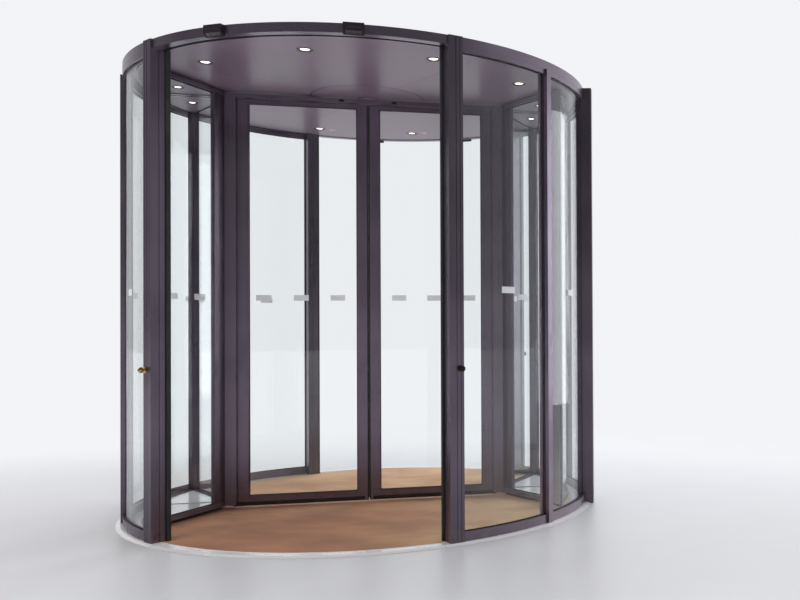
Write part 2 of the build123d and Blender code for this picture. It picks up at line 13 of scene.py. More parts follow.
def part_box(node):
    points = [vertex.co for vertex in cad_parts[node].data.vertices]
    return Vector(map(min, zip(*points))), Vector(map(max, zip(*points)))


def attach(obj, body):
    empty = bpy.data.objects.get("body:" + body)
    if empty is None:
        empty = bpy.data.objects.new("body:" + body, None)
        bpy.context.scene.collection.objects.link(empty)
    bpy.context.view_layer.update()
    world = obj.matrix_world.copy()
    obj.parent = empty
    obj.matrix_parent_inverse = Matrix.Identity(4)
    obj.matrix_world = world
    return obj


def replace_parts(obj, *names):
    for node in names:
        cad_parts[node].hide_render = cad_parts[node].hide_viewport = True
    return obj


bl_info = {
    "name": "Revolving Door",
    "version": (1, 0, 0),
    "blender": (4, 5, 0),
    "location": "3D View > Sidebar > Door",
    "description": "Finishes, seals, brushes, lamps and fittings of a two-wing revolving door",
    "category": "Object",
}

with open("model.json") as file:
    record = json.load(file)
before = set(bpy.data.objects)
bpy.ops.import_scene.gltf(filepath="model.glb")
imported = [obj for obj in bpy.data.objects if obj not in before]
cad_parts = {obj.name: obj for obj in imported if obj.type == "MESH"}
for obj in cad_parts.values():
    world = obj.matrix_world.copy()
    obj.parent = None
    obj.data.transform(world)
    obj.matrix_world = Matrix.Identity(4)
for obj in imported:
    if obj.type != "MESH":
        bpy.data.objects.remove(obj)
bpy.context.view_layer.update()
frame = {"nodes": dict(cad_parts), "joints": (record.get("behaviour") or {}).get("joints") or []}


def bottom(node):
    """Lowest height of a frame node."""
    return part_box(node)[0][2]


def top(node):
    """Highest height of a frame node."""
    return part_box(node)[1][2]


# Places taken from the frame, in metres and degrees
SLIDE_AXIS = next(joint for joint in frame["joints"] if joint["name"] == "right_leaf_slide")["axis"]
ROTOR_ANGLE = math.degrees(math.atan2(SLIDE_AXIS[1], SLIDE_AXIS[0]))
MAT_TOP = top("floor_mat")
SOFFIT_Z = bottom("canopy_soffit")
ROOF_TOP = top("canopy_roof")
COVER_TOP = top("drive_unit")
RING_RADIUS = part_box("floor_ring")[1][1]
WALL_RAIL_TOP = top("right_wall_bottom_rail")
WALL_RAIL_UNDER = bottom("right_wall_top_rail")
ROTOR_LOW = bottom("right_showcase_posts")
ROTOR_HIGH = top("track_beam")
BEAM_LOW = bottom("track_beam")
LEAF_SIGHT_Z = (bottom("right_leaf_glass"), top("right_leaf_glass"))
PLATE_TOP = top("right_showcase_plates")

# Sections that the frame's pieces have, in metres and degrees
POST_OUTER = 1.770
POST_SPAN = math.degrees(0.100 / POST_OUTER)
OPENING_HALF = 33.9
PANE_RADIUS = 1.730
PANE_HALF = 0.006
MULLION_ANGLE = 62.5
MULLION_HALF = math.degrees(0.025 / PANE_RADIUS)
JAMB_HALF = 0.0425
WING_RADIUS = 1.611
WING_HALF_ANGLE = 26.5
WING_APEX = (1.077, 0.072)
POCKET_HALF = 0.027
BEAM_HALF = 0.045
CORNER_ZONE = 0.094
WING_GLASS = (0.016, 0.026)
WING_RAIL_TOP = ROTOR_LOW + 0.034
WING_RAIL_UNDER = ROTOR_HIGH - 0.030
WING_FLOOR = ROTOR_LOW + 0.022
LEAF_HALF = 0.020
LEAF_GLASS_HALF = 0.005
LEAF_SIGHT = (0.0905, 0.907)
LEAF_START = 0.0025
LEAF_STOP = 1.029
LEAF_FOOT = (LEAF_START + 0.001, LEAF_STOP - 0.001)
DOWNLIGHT_CIRCLE = 1.362
DOWNLIGHTS = 10
WING_LAMP_REACH = 1.370
WING_LAMP_OFFSET = 0.250
SENSOR_ANGLE = 14.5
SENSOR_FACE = 1.793
KNOB_TURN = math.degrees(0.076 / POST_OUTER)
KNOB_HEIGHT = 1.150
BRUSH_SPAN = math.degrees(0.012 / WING_RADIUS)
EDGE_BRUSH_ANGLE = WING_HALF_ANGLE - 1.5 * BRUSH_SPAN

# Places and sizes of the small pieces that are added here, in metres and degrees
BRUSH_ROWS = (-0.0042, -0.0014, 0.0014, 0.0042)
EDGE_BRUSH_ROWS = (-0.0040, 0.0, 0.0040)
EDGE_BRUSH_LENGTH = 0.0178
BEAM_BRUSH = (0.084, 1.074)
BEAM_BRUSH_ROWS = (-0.0042, 0.0, 0.0042)
HOLDER_FOOT = ROTOR_LOW - 0.007
CORE_FOOT = ROTOR_LOW - 0.019
RING_SCREW_CIRCLE = 1.742
RING_SCREW_SPREAD = 62.0
ROOF_SCREW_CIRCLE = 1.620
ROOF_SEAM = (0.340, 1.640)
SOFFIT_JOINT = (0.452, 1.628)
COVER_BOLT_CIRCLE = 0.313
LID_SCREW_CIRCLE = 0.284
HANGER_REACH = 0.205
POCKET_SEAL = (0.999, 1.006)
LEAF_FILMS = (0.240, 0.520, 0.800)

# The camera fitted to the photograph: metres, degrees of yaw, pitch and roll, and shifts in frame widths
CAMERA_PLACE = (2.3127, -7.4406, 1.4424)
CAMERA_TURN = (1.4485, 0.5332, -0.3438)
CAMERA_SHIFT = (-0.2875, 0.01786)

SIDES = ((1, "right"), (-1, "left"))
UP = Vector((0.0, 0.0, 1.0))


class Wire:
    """A shader socket that takes part in Python expressions."""

    def __init__(self, finish, socket):
        self.finish = finish
        self.socket = socket

    def maths(self, operation, first, second=0.0):
        return self.finish.node("ShaderNodeMath", {"operation": operation}, {0: first, 1: second})

    def __add__(self, other):
        return self.maths("ADD", self, other)

    def __radd__(self, other):
        return self.maths("ADD", other, self)

    def __sub__(self, other):
        return self.maths("SUBTRACT", self, other)

    def __rsub__(self, other):
        return self.maths("SUBTRACT", other, self)

    def __mul__(self, other):
        return self.maths("MULTIPLY", self, other)

    def __rmul__(self, other):
        return self.maths("MULTIPLY", other, self)

    def __neg__(self):
        return self.maths("MULTIPLY", self, -1.0)

    def __pow__(self, other):
        return self.maths("POWER", self, other)

    def rise(self, start, stop):
        """0 below start, 1 above stop, smooth between them."""
        settings = {"interpolation_type": "SMOOTHSTEP"}
        return self.finish.node("ShaderNodeMapRange", settings, {0: self, 1: start, 2: stop, 3: 0.0, 4: 1.0})


class Finish:
    """One node material, or the world, under construction."""

    def __init__(self, name, world=False):
        self.made = (bpy.data.worlds if world else bpy.data.materials).new(name)
        self.made.use_nodes = True
        self.tree = self.made.node_tree
        self.tree.nodes.clear()
        self.output = "ShaderNodeOutputWorld" if world else "ShaderNodeOutputMaterial"
        self.place = self.node("ShaderNodeTexCoord", {}, {}, "Generated" if world else "Object")
        axes = (self.node("ShaderNodeSeparateXYZ", {}, {0: self.place}, axis) for axis in "XYZ")
        self.x, self.y, self.z = axes

    def node(self, kind, settings, values, output=0):
        """Add a node: its settings first, then the values or links of its sockets."""
        node = self.tree.nodes.new(kind)
        for key, value in settings.items():
            setattr(node, key, value)
        for key, value in values.items():
            socket = node.inputs[key]
            if isinstance(value, Wire):
                self.tree.links.new(value.socket, socket)
            elif socket.type == "RGBA" and len(value) == 3:
                socket.default_value = (*value, 1.0)
            else:
                socket.default_value = value
        return Wire(self, node.outputs[output]) if node.outputs else node

    def vector(self, x, y, z):
        return self.node("ShaderNodeCombineXYZ", {}, {0: x, 1: y, 2: z})

    def mix(self, amount, first, second):
        """Blend two colours."""
        return self.node("ShaderNodeMix", {"data_type": "RGBA"}, {0: amount, 6: first, 7: second}, 2)

    def noise(self, scale, detail=2.0, roughness=0.5, vector=None):
        values = {"Vector": vector or self.place, "Scale": scale, "Detail": detail, "Roughness": roughness}
        return self.node("ShaderNodeTexNoise", {}, values)

    def bump(self, height, strength, distance):
        values = {"Strength": strength, "Distance": distance, "Height": height}
        return self.node("ShaderNodeBump", {}, values)

    def radius(self):
        """Distance from the drum's axis."""
        return (self.x * self.x + self.y * self.y) ** 0.5

    def angle(self):
        """Angle around the drum's axis, in radians."""
        return self.x.maths("ARCTAN2", self.x, -self.y)

    def grain(self, run):
        """A vector stretched along the way that a profile was drawn or brushed."""
        if run == "upright":
            return self.vector(self.x * 700.0, self.y * 700.0, self.z * 5.0)
        if run == "round":
            return self.vector(self.radius() * 700.0, self.angle() * 9.0, self.z * 700.0)
        turn = math.radians(ROTOR_ANGLE)
        along = self.x * math.cos(turn) + self.y * math.sin(turn)
        across = self.y * math.cos(turn) - self.x * math.sin(turn)
        return self.vector(along * 5.0, across * 700.0, self.z * 700.0)

    def surface(self, **values):
        """A Principled surface, by socket names with underscores for spaces."""
        named = {key.replace("_", " "): value for key, value in values.items()}
        return self.node("ShaderNodeBsdfPrincipled", {}, named)

    def done(self, shader):
        self.node(self.output, {}, {"Surface": shader})
        return self.made


def colour_setting(name, description, value):
    """A colour that the user sets."""
    return FloatVectorProperty(
        name=name, description=description, default=value, subtype="COLOR", min=0.0, max=1.0)


def length_setting(name, description, value, least, most):
    """A length that the user sets, in metres."""
    return FloatProperty(
        name=name, description=description, default=value, unit="LENGTH", min=least, max=most)


def strength_setting(name, description, value, most):
    """A strength that the user sets."""
    return FloatProperty(name=name, description=description, default=value, min=0.0, max=most)


class DoorFinishes(bpy.types.PropertyGroup):
    """Colours of the door's finishes."""

    bronze: colour_setting("Bronze coating", "Body colour of the coated profiles", (0.143, 0.116, 0.152))
    bronze_light: colour_setting("Bronze highlight", "Lighter tone of the coating", (0.255, 0.213, 0.262))
    dust: colour_setting("Dust", "Colour of the dust near the floor", (0.300, 0.255, 0.235))
    soffit: colour_setting("Soffit paint", "Paint of the soffit and the ceiling disc", (0.222, 0.165, 0.219))
    plate: colour_setting("Showcase floor", "Gloss paint of the showcase floors", (0.900, 0.885, 0.915))
    case_ceiling: colour_setting("Showcase ceiling", "Satin paint overhead", (0.185, 0.150, 0.185))
    tint: colour_setting("Glass tint", "Light that one face of glass lets through", (0.985, 0.994, 0.993))
    coir_light: colour_setting("Coir light", "Light fibres of the mat", (0.600, 0.285, 0.142))
    coir_dark: colour_setting("Coir dark", "Dark fibres and trodden patches", (0.262, 0.104, 0.054))
    # Painted sunlight: the pale tan that the mat takes towards the street and the +X window.
    coir_sunlit: colour_setting("Sunlit coir", "Painted sunlight on the fibres towards the street and the window", (0.800, 0.560, 0.325))
    # Near-white ring colour: a painted reflection of the bright sky.
    steel: colour_setting("Stainless steel", "Brushed steel of the floor ring", (0.900, 0.885, 0.895))
    brass: colour_setting("Brass", "Turned brass of the lock knobs", (0.620, 0.400, 0.120))
    rubber: colour_setting("Rubber", "Seals, gaskets and safety edges", (0.018, 0.018, 0.020))
    pile: colour_setting("Brush pile", "Bristles of the brush strips", (0.030, 0.026, 0.028))
    marking: colour_setting("Marking film", "Films that make the glass visible", (0.960, 0.965, 0.975))
    lamp: colour_setting("Lamp light", "Light of the downlights", (1.000, 0.900, 0.780))


class DoorSizes(bpy.types.PropertyGroup):
    """Sizes of the small pieces."""

    gasket_width: length_setting("Gasket width", "Width of a gasket beside the glass", 0.0035, 0.001, 0.010)
    gasket_height: length_setting("Gasket height", "Height of a gasket over its rail", 0.0055, 0.001, 0.020)
    bristle_pitch: length_setting("Bristle pitch", "Distance between the tufts", 0.0026, 0.001, 0.020)
    bristle_width: length_setting("Bristle width", "Width of a tuft at its root", 0.0022, 0.0005, 0.010)
    marking_width: length_setting("Marking width", "Length of one marking film", 0.113, 0.02, 0.4)
    marking_height: length_setting("Marking height", "Height of one marking film", 0.045, 0.01, 0.2)
    marking_level: length_setting("Marking level", "Height of the row over the floor", 1.658, 0.8, 2.2)
    lamp_strength: strength_setting("Lamp strength", "Brightness of the lamp lenses", 3.0, 20.0)
    ring_screws: IntProperty(
        name="Ring screws", description="Screws in the ring at each entrance", default=8, min=0, max=40)


class DoorStage(bpy.types.PropertyGroup):
    """The studio around the door."""

    floor_size: length_setting("Floor size", "Side of the studio floor", 90.0, 10.0, 200.0)
    floor_colour: colour_setting("Floor colour", "Pale colour of the studio floor", (0.740, 0.740, 0.760))
    backdrop: colour_setting("Backdrop", "What the camera sees behind the door", (0.895, 0.900, 0.925))
    lobby_light: strength_setting("Lobby light", "Strength of the sky on the lobby side", 0.34, 5.0)
    street_light: strength_setting("Street light", "Strength of the sky on the street side", 1.25, 5.0)
    lobby_shine: FloatProperty(
        name="Lobby shine", description="Share of the backdrop that gloss mirrors on the lobby side",
        default=0.15, min=0.0, max=1.0, subtype="FACTOR")
    panes_in_line: IntProperty(
        name="Panes in line", description="Panes that a line of sight may pass before it goes black",
        default=12, min=4, max=60)
    lens: FloatProperty(
        name="Lens", description="Focal length of the camera on a 36 mm sensor, in millimetres",
        default=41.486, min=10.0, max=200.0)


def finishes():
    """The colours that the user sets."""
    return bpy.context.scene.door_finishes


def dimmed(colour, share):
    """A colour with its channels multiplied."""
    return tuple(channel * share for channel in colour)


def bronze_coat(coat, run, painted_light_scale):
    """Satin bronze coating on drawn profiles: grain, cloudy tone, hand marks and dust by the floor, with its
    colours scaled darker or lighter as painted shade and painted light.
    """
    fine = coat.noise(1.0, 3.0, 0.6, coat.grain(run))
    cloud = coat.noise(1.6)
    blotch = coat.noise(14.0, 4.0, 0.6)
    hands = coat.z.rise(0.75, 1.05) * (1.0 - coat.z.rise(1.30, 1.60)) * blotch.rise(0.48, 0.66)
    floor = (1.0 - coat.z.rise(0.01, 0.22)) * blotch.rise(0.36, 0.62)
    tone = fine.rise(0.30, 0.75) * 0.14 + cloud.rise(0.35, 0.70) * 0.40
    # painted_light_scale scales the bronze colours: below 1 is painted shade, above 1 is painted light.
    colour = coat.mix(tone, dimmed(finishes().bronze, painted_light_scale), dimmed(finishes().bronze_light, painted_light_scale))
    return coat.surface(
        Base_Color=coat.mix(floor * 0.30, colour, finishes().dust), Metallic=0.85,
        Roughness=0.23 + fine * 0.05 + cloud * 0.06 + hands * 0.12 + floor * 0.20,
        Normal=coat.bump(fine + blotch * 0.15, 0.025, 0.0003))


def glazing(glass, curved):
    """Clear safety glass: a light tint, gloss at a slant with slow waves, and dust at its foot."""
    if curved:
        wave = glass.noise(1.0, 3.0, 0.55, glass.vector(glass.angle() * 26.0, 0.0, glass.z * 0.7))
    else:
        wave = glass.noise(1.0, 1.0, 0.5, glass.vector(glass.x * 3.0, glass.y * 3.0, glass.z * 0.8))
    smear = glass.noise(7.0, 5.0, 0.65)
    gloss = glass.surface(
        Base_Color=(0.92, 0.95, 0.96), Metallic=1.0, Roughness=0.010 + smear.rise(0.45, 0.8) * 0.025,
        Normal=glass.bump(wave, 0.14 if curved else 0.06, 0.02))
    clear = glass.node("ShaderNodeBsdfTransparent", {}, {"Color": finishes().tint})
    facing = glass.node("ShaderNodeLayerWeight", {}, {"Blend": 0.5}, "Facing")
    haze = (1.0 - glass.z.rise(0.05, 0.55)) * smear.rise(0.35, 0.75) * 0.03
    amount = facing ** 5.0 * 0.90 + 0.030 + haze
    return glass.node("ShaderNodeMixShader", {}, {0: amount, 1: clear, 2: gloss})


def coir(mat):
    """Coir pile: mottled fibres, trodden dark patches, faint cross rows, a worn circle, and painted sunlight
    that lightens it towards the street and the +X window.
    """
    fibre = mat.noise(420.0, 3.0, 0.7)
    tuft = mat.node("ShaderNodeTexVoronoi", {}, {"Vector": mat.place, "Scale": 190.0})
    rows = mat.noise(1.0, 3.0, 0.6, mat.vector(mat.x * 1.6, mat.y * 6.0, 0.0))
    patch = mat.noise(1.0, 4.0, 0.55, mat.vector(mat.x * 1.3, mat.y * 1.9, 0.0)).rise(0.30, 0.66)
    worn = mat.noise(1.0, 2.0, 0.5, mat.vector(mat.radius() * 14.0, mat.angle() * 1.2, 0.0))
    tone = patch * 0.44 + rows.rise(0.30, 0.70) * 0.12 + worn.rise(0.35, 0.7) * 0.08
    colour = mat.mix(tone + fibre.rise(0.30, 0.72) * 0.30, finishes().coir_dark, finishes().coir_light)
    # Painted sunlight: the fibres are lightened and yellowed towards the street side and the +X window,
    # where light falls on the mat.
    painted_window_light = mat.x.rise(0.1, 1.5) * (1.0 - mat.y.rise(-0.2, 0.6))
    painted_sunlight = (mat.y.rise(-0.7, 1.3) + painted_window_light * 1.10) * (0.30 + patch * 0.40)
    return mat.surface(
        Base_Color=mat.mix(painted_sunlight, colour, finishes().coir_sunlit), Roughness=0.86 + fibre * 0.10,
        Normal=mat.bump(fibre * 0.7 + tuft * 0.5, 0.75, 0.003), Sheen_Weight=0.08, Sheen_Roughness=0.5)


def ring_steel(steel):
    """Stainless steel brushed round the ring, with scuffs; its near-white colour on a barely metallic
    surface is a painted reflection of the bright sky.
    """
    brushed = steel.noise(1.0, 2.0, 0.5, steel.vector(steel.radius() * 260.0, steel.angle() * 60.0, 0.0))
    marks = steel.noise(11.0, 5.0, 0.7).rise(0.55, 0.75)
    # Metallic 0.10 with a near-white colour: painted reflection, lit as pale paint in place of mirrored sky.
    return steel.surface(
        Base_Color=steel.mix(marks * 0.20 + brushed * 0.15, finishes().steel, (0.66, 0.645, 0.65)),
        Metallic=0.10, Roughness=0.20 + brushed * 0.10 + marks * 0.12,
        Normal=steel.bump(brushed, 0.03, 0.0002))


def soffit_paint(paint):
    """Sprayed gloss paint with a slight orange peel and cloudy tone."""
    peel = paint.noise(210.0)
    cloud = paint.noise(1.3, 3.0)
    return paint.surface(
        Base_Color=paint.mix(cloud.rise(0.30, 0.72), dimmed(finishes().soffit, 0.84), finishes().soffit),
        Roughness=0.28 + cloud * 0.08, Specular_IOR_Level=0.28, Specular_Tint=(1.0, 0.80, 1.0),
        Normal=paint.bump(peel, 0.008, 0.0003))


def roof_paint(sheet):
    """Plain primed sheet on the roof, dusty and matt."""
    dust = sheet.noise(5.0, 5.0, 0.65)
    return sheet.surface(
        Base_Color=sheet.mix(dust.rise(0.35, 0.72) * 0.6, (0.17, 0.14, 0.165), finishes().dust),
        Roughness=0.46 + dust * 0.30, Metallic=0.25,
        Normal=sheet.bump(sheet.noise(160.0, 3.0), 0.08, 0.0006))


def plate_paint(paint):
    """Showcase plates: satin mauve overhead, pale gloss underfoot with the dust of a closed case."""
    overhead = paint.z.rise(1.5, 1.6)
    cloud = paint.noise(2.2, 3.0)
    dust = paint.noise(30.0, 5.0, 0.7).rise(0.50, 0.80)
    tone = paint.mix(overhead, finishes().plate, finishes().case_ceiling)
    return paint.surface(
        Base_Color=paint.mix(dust * 0.08 + cloud * 0.06, tone, finishes().dust),
        Roughness=0.10 + overhead * 0.28 + cloud * 0.05 + dust * 0.10, Specular_IOR_Level=0.80,
        Normal=paint.bump(dust, 0.02, 0.0002))


def rubber(seal):
    """Black rubber with a matt moulded skin."""
    bloom = seal.noise(6.0, 3.0)
    return seal.surface(
        Base_Color=seal.mix(bloom.rise(0.4, 0.75) * 0.5, finishes().rubber, (0.045, 0.044, 0.046)),
        Roughness=0.55 + bloom * 0.20, Normal=seal.bump(seal.noise(240.0, 3.0, 0.6), 0.15, 0.0004))


def brush_pile(pile):
    """Nylon bristles, a little lighter where they are dusty."""
    strand = pile.noise(500.0)
    dust = pile.noise(8.0, 3.0).rise(0.45, 0.75)
    tone = pile.mix(strand * 0.5 + dust * 0.35, finishes().pile, (0.085, 0.074, 0.070))
    return pile.surface(Base_Color=tone, Roughness=0.60 + strand * 0.2)


def turned_brass(brass):
    """Brass turned on a lathe and dulled by hands."""
    tarnish = brass.noise(60.0, 4.0, 0.6)
    tone = brass.mix(tarnish.rise(0.45, 0.75) * 0.7, finishes().brass, (0.24, 0.14, 0.05))
    return brass.surface(
        Base_Color=tone, Metallic=1.0, Roughness=0.22 + tarnish * 0.25,
        Normal=brass.bump(brass.noise(380.0), 0.10, 0.0003))


def shaded_brass(brass):
    """The same brass knob, darkened almost black as painted shade."""
    tarnish = brass.noise(60.0, 4.0, 0.6)
    tone = brass.mix(tarnish.rise(0.5, 0.8), (0.035, 0.026, 0.022), (0.12, 0.08, 0.04))
    return brass.surface(Base_Color=tone, Metallic=0.8, Roughness=0.34 + tarnish * 0.2)


def sensor_shell(shell):
    """Fine-grained black plastic."""
    grain = shell.noise(900.0)
    tone = shell.mix(shell.noise(12.0), (0.010, 0.009, 0.012), (0.020, 0.018, 0.022))
    return shell.surface(
        Base_Color=tone, Roughness=0.42 + grain * 0.10, Specular_IOR_Level=0.22,
        Normal=shell.bump(grain, 0.12, 0.0003))


def lamp_lens(lens):
    """Lit prismatic lens: brighter in its middle, with fine ribs."""
    ribs = lens.noise(420.0, 1.0)
    glow = lens.mix(ribs.rise(0.3, 0.7), dimmed(finishes().lamp, 0.80), finishes().lamp)
    return lens.surface(
        Base_Color=(0.75, 0.73, 0.70), Roughness=0.25 + ribs * 0.1, Emission_Color=glow,
        Emission_Strength=bpy.context.scene.door_sizes.lamp_strength)


def marking_film(film):
    """Frosted white film with slightly uneven edges of light."""
    frost = film.noise(520.0, 3.0, 0.7)
    shade = frost * 0.5 + film.noise(18.0) * 0.3
    tone = film.mix(shade, finishes().marking, dimmed(finishes().marking, 0.88))
    return film.surface(Base_Color=tone, Roughness=0.50 + frost * 0.2, Alpha=0.60 + frost * 0.10)


def guide_steel(steel):
    """Rubbed grey steel of the leaves' floor guides."""
    rub = steel.noise(1.0, 3.0, 0.5, steel.vector(steel.x * 40.0, steel.y * 40.0, steel.z * 400.0))
    tone = steel.mix(rub.rise(0.35, 0.70), (0.17, 0.165, 0.18), (0.34, 0.33, 0.36))
    return steel.surface(Base_Color=tone, Metallic=0.90, Roughness=0.32 + rub * 0.15)


def speckled(finish, scale, dark, light, smooth, spread, detail=2.0, **more):
    """Two close tones and a roughness that follow one fine noise."""
    speck = finish.noise(scale, detail)
    return finish.surface(
        Base_Color=finish.mix(speck, dark, light), Roughness=smooth + speck * spread, **more)


MAKERS = {
    # One bronze coating in four copies. Upright bronze is darkened as painted shade on the posts, jambs,
    # covers and screws. The other three are lightened as painted light.
    "Upright bronze": partial(bronze_coat, run="upright", painted_light_scale=0.85),
    "Slim bronze": partial(bronze_coat, run="upright", painted_light_scale=1.18),
    "Round bronze": partial(bronze_coat, run="round", painted_light_scale=1.15),
    "Wing bronze": partial(bronze_coat, run="wing", painted_light_scale=1.18),
    "Curved glass": partial(glazing, curved=True),
    "Flat glass": partial(glazing, curved=False),
    "Coir": coir,
    "Ring steel": ring_steel,
    "Soffit paint": soffit_paint,
    "Roof sheet": roof_paint,
    "Showcase paint": plate_paint,
    "Black rubber": rubber,
    "Brush pile": brush_pile,
    "Turned brass": turned_brass,
    "Shaded brass": shaded_brass,
    "Sensor shell": sensor_shell,
    "Lamp lens": lamp_lens,
    "Marking film": marking_film,
    "Guide steel": guide_steel,
    "Brush holder": partial(
        speckled, scale=300.0, dark=(0.060, 0.052, 0.058), light=(0.100, 0.090, 0.096),
        smooth=0.38, spread=0.12, Metallic=0.7),
    "Sensor window": partial(
        speckled, scale=30.0, dark=(0.012, 0.006, 0.010), light=(0.040, 0.010, 0.016),
        smooth=0.06, spread=0.04, Coat_Weight=0.6),
    "Lamp trim": partial(
        speckled, scale=260.0, dark=(0.030, 0.024, 0.030), light=(0.060, 0.050, 0.058),
        smooth=0.30, spread=0.12, Metallic=0.6),
    "Lamp baffle": partial(
        speckled, scale=320.0, dark=(0.018, 0.016, 0.018), light=(0.045, 0.040, 0.044),
        smooth=0.45, spread=0.2),
    "Zinc screw": partial(
        speckled, scale=120.0, detail=3.0, dark=(0.34, 0.33, 0.34), light=(0.58, 0.57, 0.58),
        smooth=0.25, spread=0.2, Metallic=0.95),
}
MATERIALS = {}


def material(name):
    """Make a material once and reuse it."""
    if name not in MATERIALS:
        finish = Finish(name)
        MATERIALS[name] = finish.done(MAKERS[name](finish))
    return MATERIALS[name]


def dress(finish, *nodes):
    """Give frame nodes a finish."""
    for node in nodes:
        slots = frame["nodes"][node].data.materials
        slots.clear()
        slots.append(material(finish))


def both(*names):
    """The left and the right node of each name."""
    return [f"{side}_{name}" for name in names for side in ("left", "right")]


def add_object(name, data, finish, body):
    """Make an object of a mesh, finish it and let it ride on its body."""
    data.materials.append(material(finish))
    made = bpy.data.objects.new(name, data)
    bpy.context.scene.collection.objects.link(made)
    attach(made, body)
    return made


class Shape:
    """Collects the mesh of one piece."""

    def __init__(self):
        self.mesh = bmesh.new()

    def loft(self, rings, wrap=False, place=None):
        """Skin a row of closed rings with as many points each, and close its ends."""
        rows = []
        for ring in rings:
            points = [place @ Vector(point) if place else Vector(point) for point in ring]
            rows.append([self.mesh.verts.new(point) for point in points])
        for first, second in zip(rows, rows[1:] + rows[:1] if wrap else rows[1:]):
            for index in range(len(first)):
                after = (index + 1) % len(first)
                self.mesh.faces.new((first[index], first[after], second[after], second[index]))
        if not wrap:
            self.mesh.faces.new(rows[0])
            self.mesh.faces.new(list(reversed(rows[-1])))

    def lathe(self, profile, place=None, steps=24, flutes=0, depth=0.0):
        """Turn a profile of radius and height about Z, fluted where a profile point asks for it."""
        turns = [2 * math.pi * count / steps for count in range(steps)]
        rings = []
        for radius, height, *fluted in profile:
            share = depth if fluted else 0.0
            reaches = [radius + share * math.cos(flutes * turn) for turn in turns]
            rings.append([(reach * math.cos(turn), reach * math.sin(turn), height)
                          for reach, turn in zip(reaches, turns)])
        self.loft(rings, place=place)

    def arc(self, section, start, stop, pace=2.5):
        """Sweep a section of radius and height around the drum's axis."""
        steps = max(1, round(abs(stop - start) / pace))
        angles = [start + (stop - start) * count / steps for count in range(steps + 1)]
        self.loft([[drum_point(radius, angle, height) for radius, height in section] for angle in angles])

    def prism(self, outline, low, high, place=None):
        """Raise a plan between two heights."""
        self.loft([[(x, y, height) for x, y in outline] for height in (low, high)], place=place)

    def block(self, x, y, z, place=None):
        """A box by its limits."""
        self.prism([(x[0], y[0]), (x[1], y[0]), (x[1], y[1]), (x[0], y[1])], z[0], z[1], place)

    def pair(self, x, near, far, z, place=None):
        """Two boxes that mirror each other across the middle plane."""
        for sign in (-1, 1):
            self.block(x, sorted((sign * near, sign * far)), z, place)

    def border(self, x, z, section, place=None):
        """Sweep a section of inward and sideways distances around an upright rectangle, mitred."""
        corners = [(x[0], z[0], 1, 1), (x[1], z[0], -1, 1), (x[1], z[1], -1, -1), (x[0], z[1], 1, -1)]
        rings = [[(cx + sx * inward, side, cz + sz * inward) for inward, side in section]
                 for cx, cz, sx, sz in corners]
        self.loft(rings, wrap=True, place=place)

    def screw(self, place, radius=0.005):
        """A countersunk screw head with its recess."""
        profile = [(radius, -0.0006), (radius, 0.0004), (radius * 0.86, 0.0010),
                   (radius * 0.42, 0.0010), (radius * 0.34, 0.0002)]
        self.lathe(profile, place, steps=12)

    def piece(self, name, finish, body, slot, bevel=0.0):
        """Make the object, finish it and let it ride on its body."""
        bmesh.ops.recalc_face_normals(self.mesh, faces=self.mesh.faces)
        data = bpy.data.meshes.new(name)
        self.mesh.to_mesh(data)
        self.mesh.free()
        data.polygons.foreach_set("use_smooth", [True] * len(data.polygons))
        data.set_sharp_from_angle(angle=math.radians(35.0))
        made = add_object(name, data, finish, body)
        if bevel:
            rounding = made.modifiers.new("Rounded edges", "BEVEL")
            rounding.width = bevel
            rounding.segments = 2
            rounding.limit_method = "ANGLE"
            rounding.angle_limit = math.radians(40.0)
        return made


class Brush:
    """Collects the tufts of one brush strip."""

    def __init__(self, chance):
        self.chance = chance
        self.points, self.faces = [], []

    def tuft(self, root, lean, length):
        """One tapered tuft of three faces."""
        side = lean.orthogonal().normalized() * bpy.context.scene.door_sizes.bristle_width * 0.5
        other = lean.cross(side)
        tip = (root + lean * length * self.chance.uniform(0.94, 1.0)
               + (side + other) * self.chance.uniform(-0.6, 0.6))
        first = len(self.points)
        back = root - side * 0.5
        self.points.extend([root + side, back + other * 0.87, back - other * 0.87, tip])
        self.faces.extend([(first, first + 1, first + 3), (first + 1, first + 2, first + 3),
                           (first + 2, first, first + 3)])

    def strip(self, start, stop, lean, length, rows, cross=None):
        """Rows of tufts between two points, spread over the strip's thickness."""
        pitch = bpy.context.scene.door_sizes.bristle_pitch
        run = stop - start
        cross = cross or run.normalized().cross(UP)
        count = max(2, round(run.length / pitch))
        for index in range(count):
            for row in rows:
                jitter = self.chance.uniform(-0.3, 0.3) * pitch
                root = start + run * ((index + 0.5) / count) + run.normalized() * jitter + cross * row
                self.tuft(root, lean, length)

    def piece(self, name, body, node):
        """Make one object of the tufts, in place of the frame's brush."""
        data = bpy.data.meshes.new(name)
        data.from_pydata([tuple(point) for point in self.points], [], self.faces)
        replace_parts(add_object(name, data, "Brush pile", body), node)


def drum_point(radius, angle, height):
    """A point at a drum angle, counted from the lobby side towards +X."""
    turn = math.radians(angle)
    return Vector((radius * math.sin(turn), -radius * math.cos(turn), height))


def drum_spot(radius, angle, height):
    """A level place at a drum angle."""
    return Matrix.Translation(drum_point(radius, angle, height))


def facing_out(angle, radius, height):
    """A place on the drum whose Z points outwards and whose Y points up."""
    out = drum_point(1.0, angle, 0.0)
    matrix = Matrix((UP.cross(out), UP, out)).transposed().to_4x4()
    matrix.translation = drum_point(radius, angle, height)
    return matrix


def in_rotor(side=1):
    """Turns what is drawn along +X into the parked rotor's right or left half."""
    return Matrix.Rotation(math.radians(ROTOR_ANGLE + (0.0 if side > 0 else 180.0)), 4, "Z")


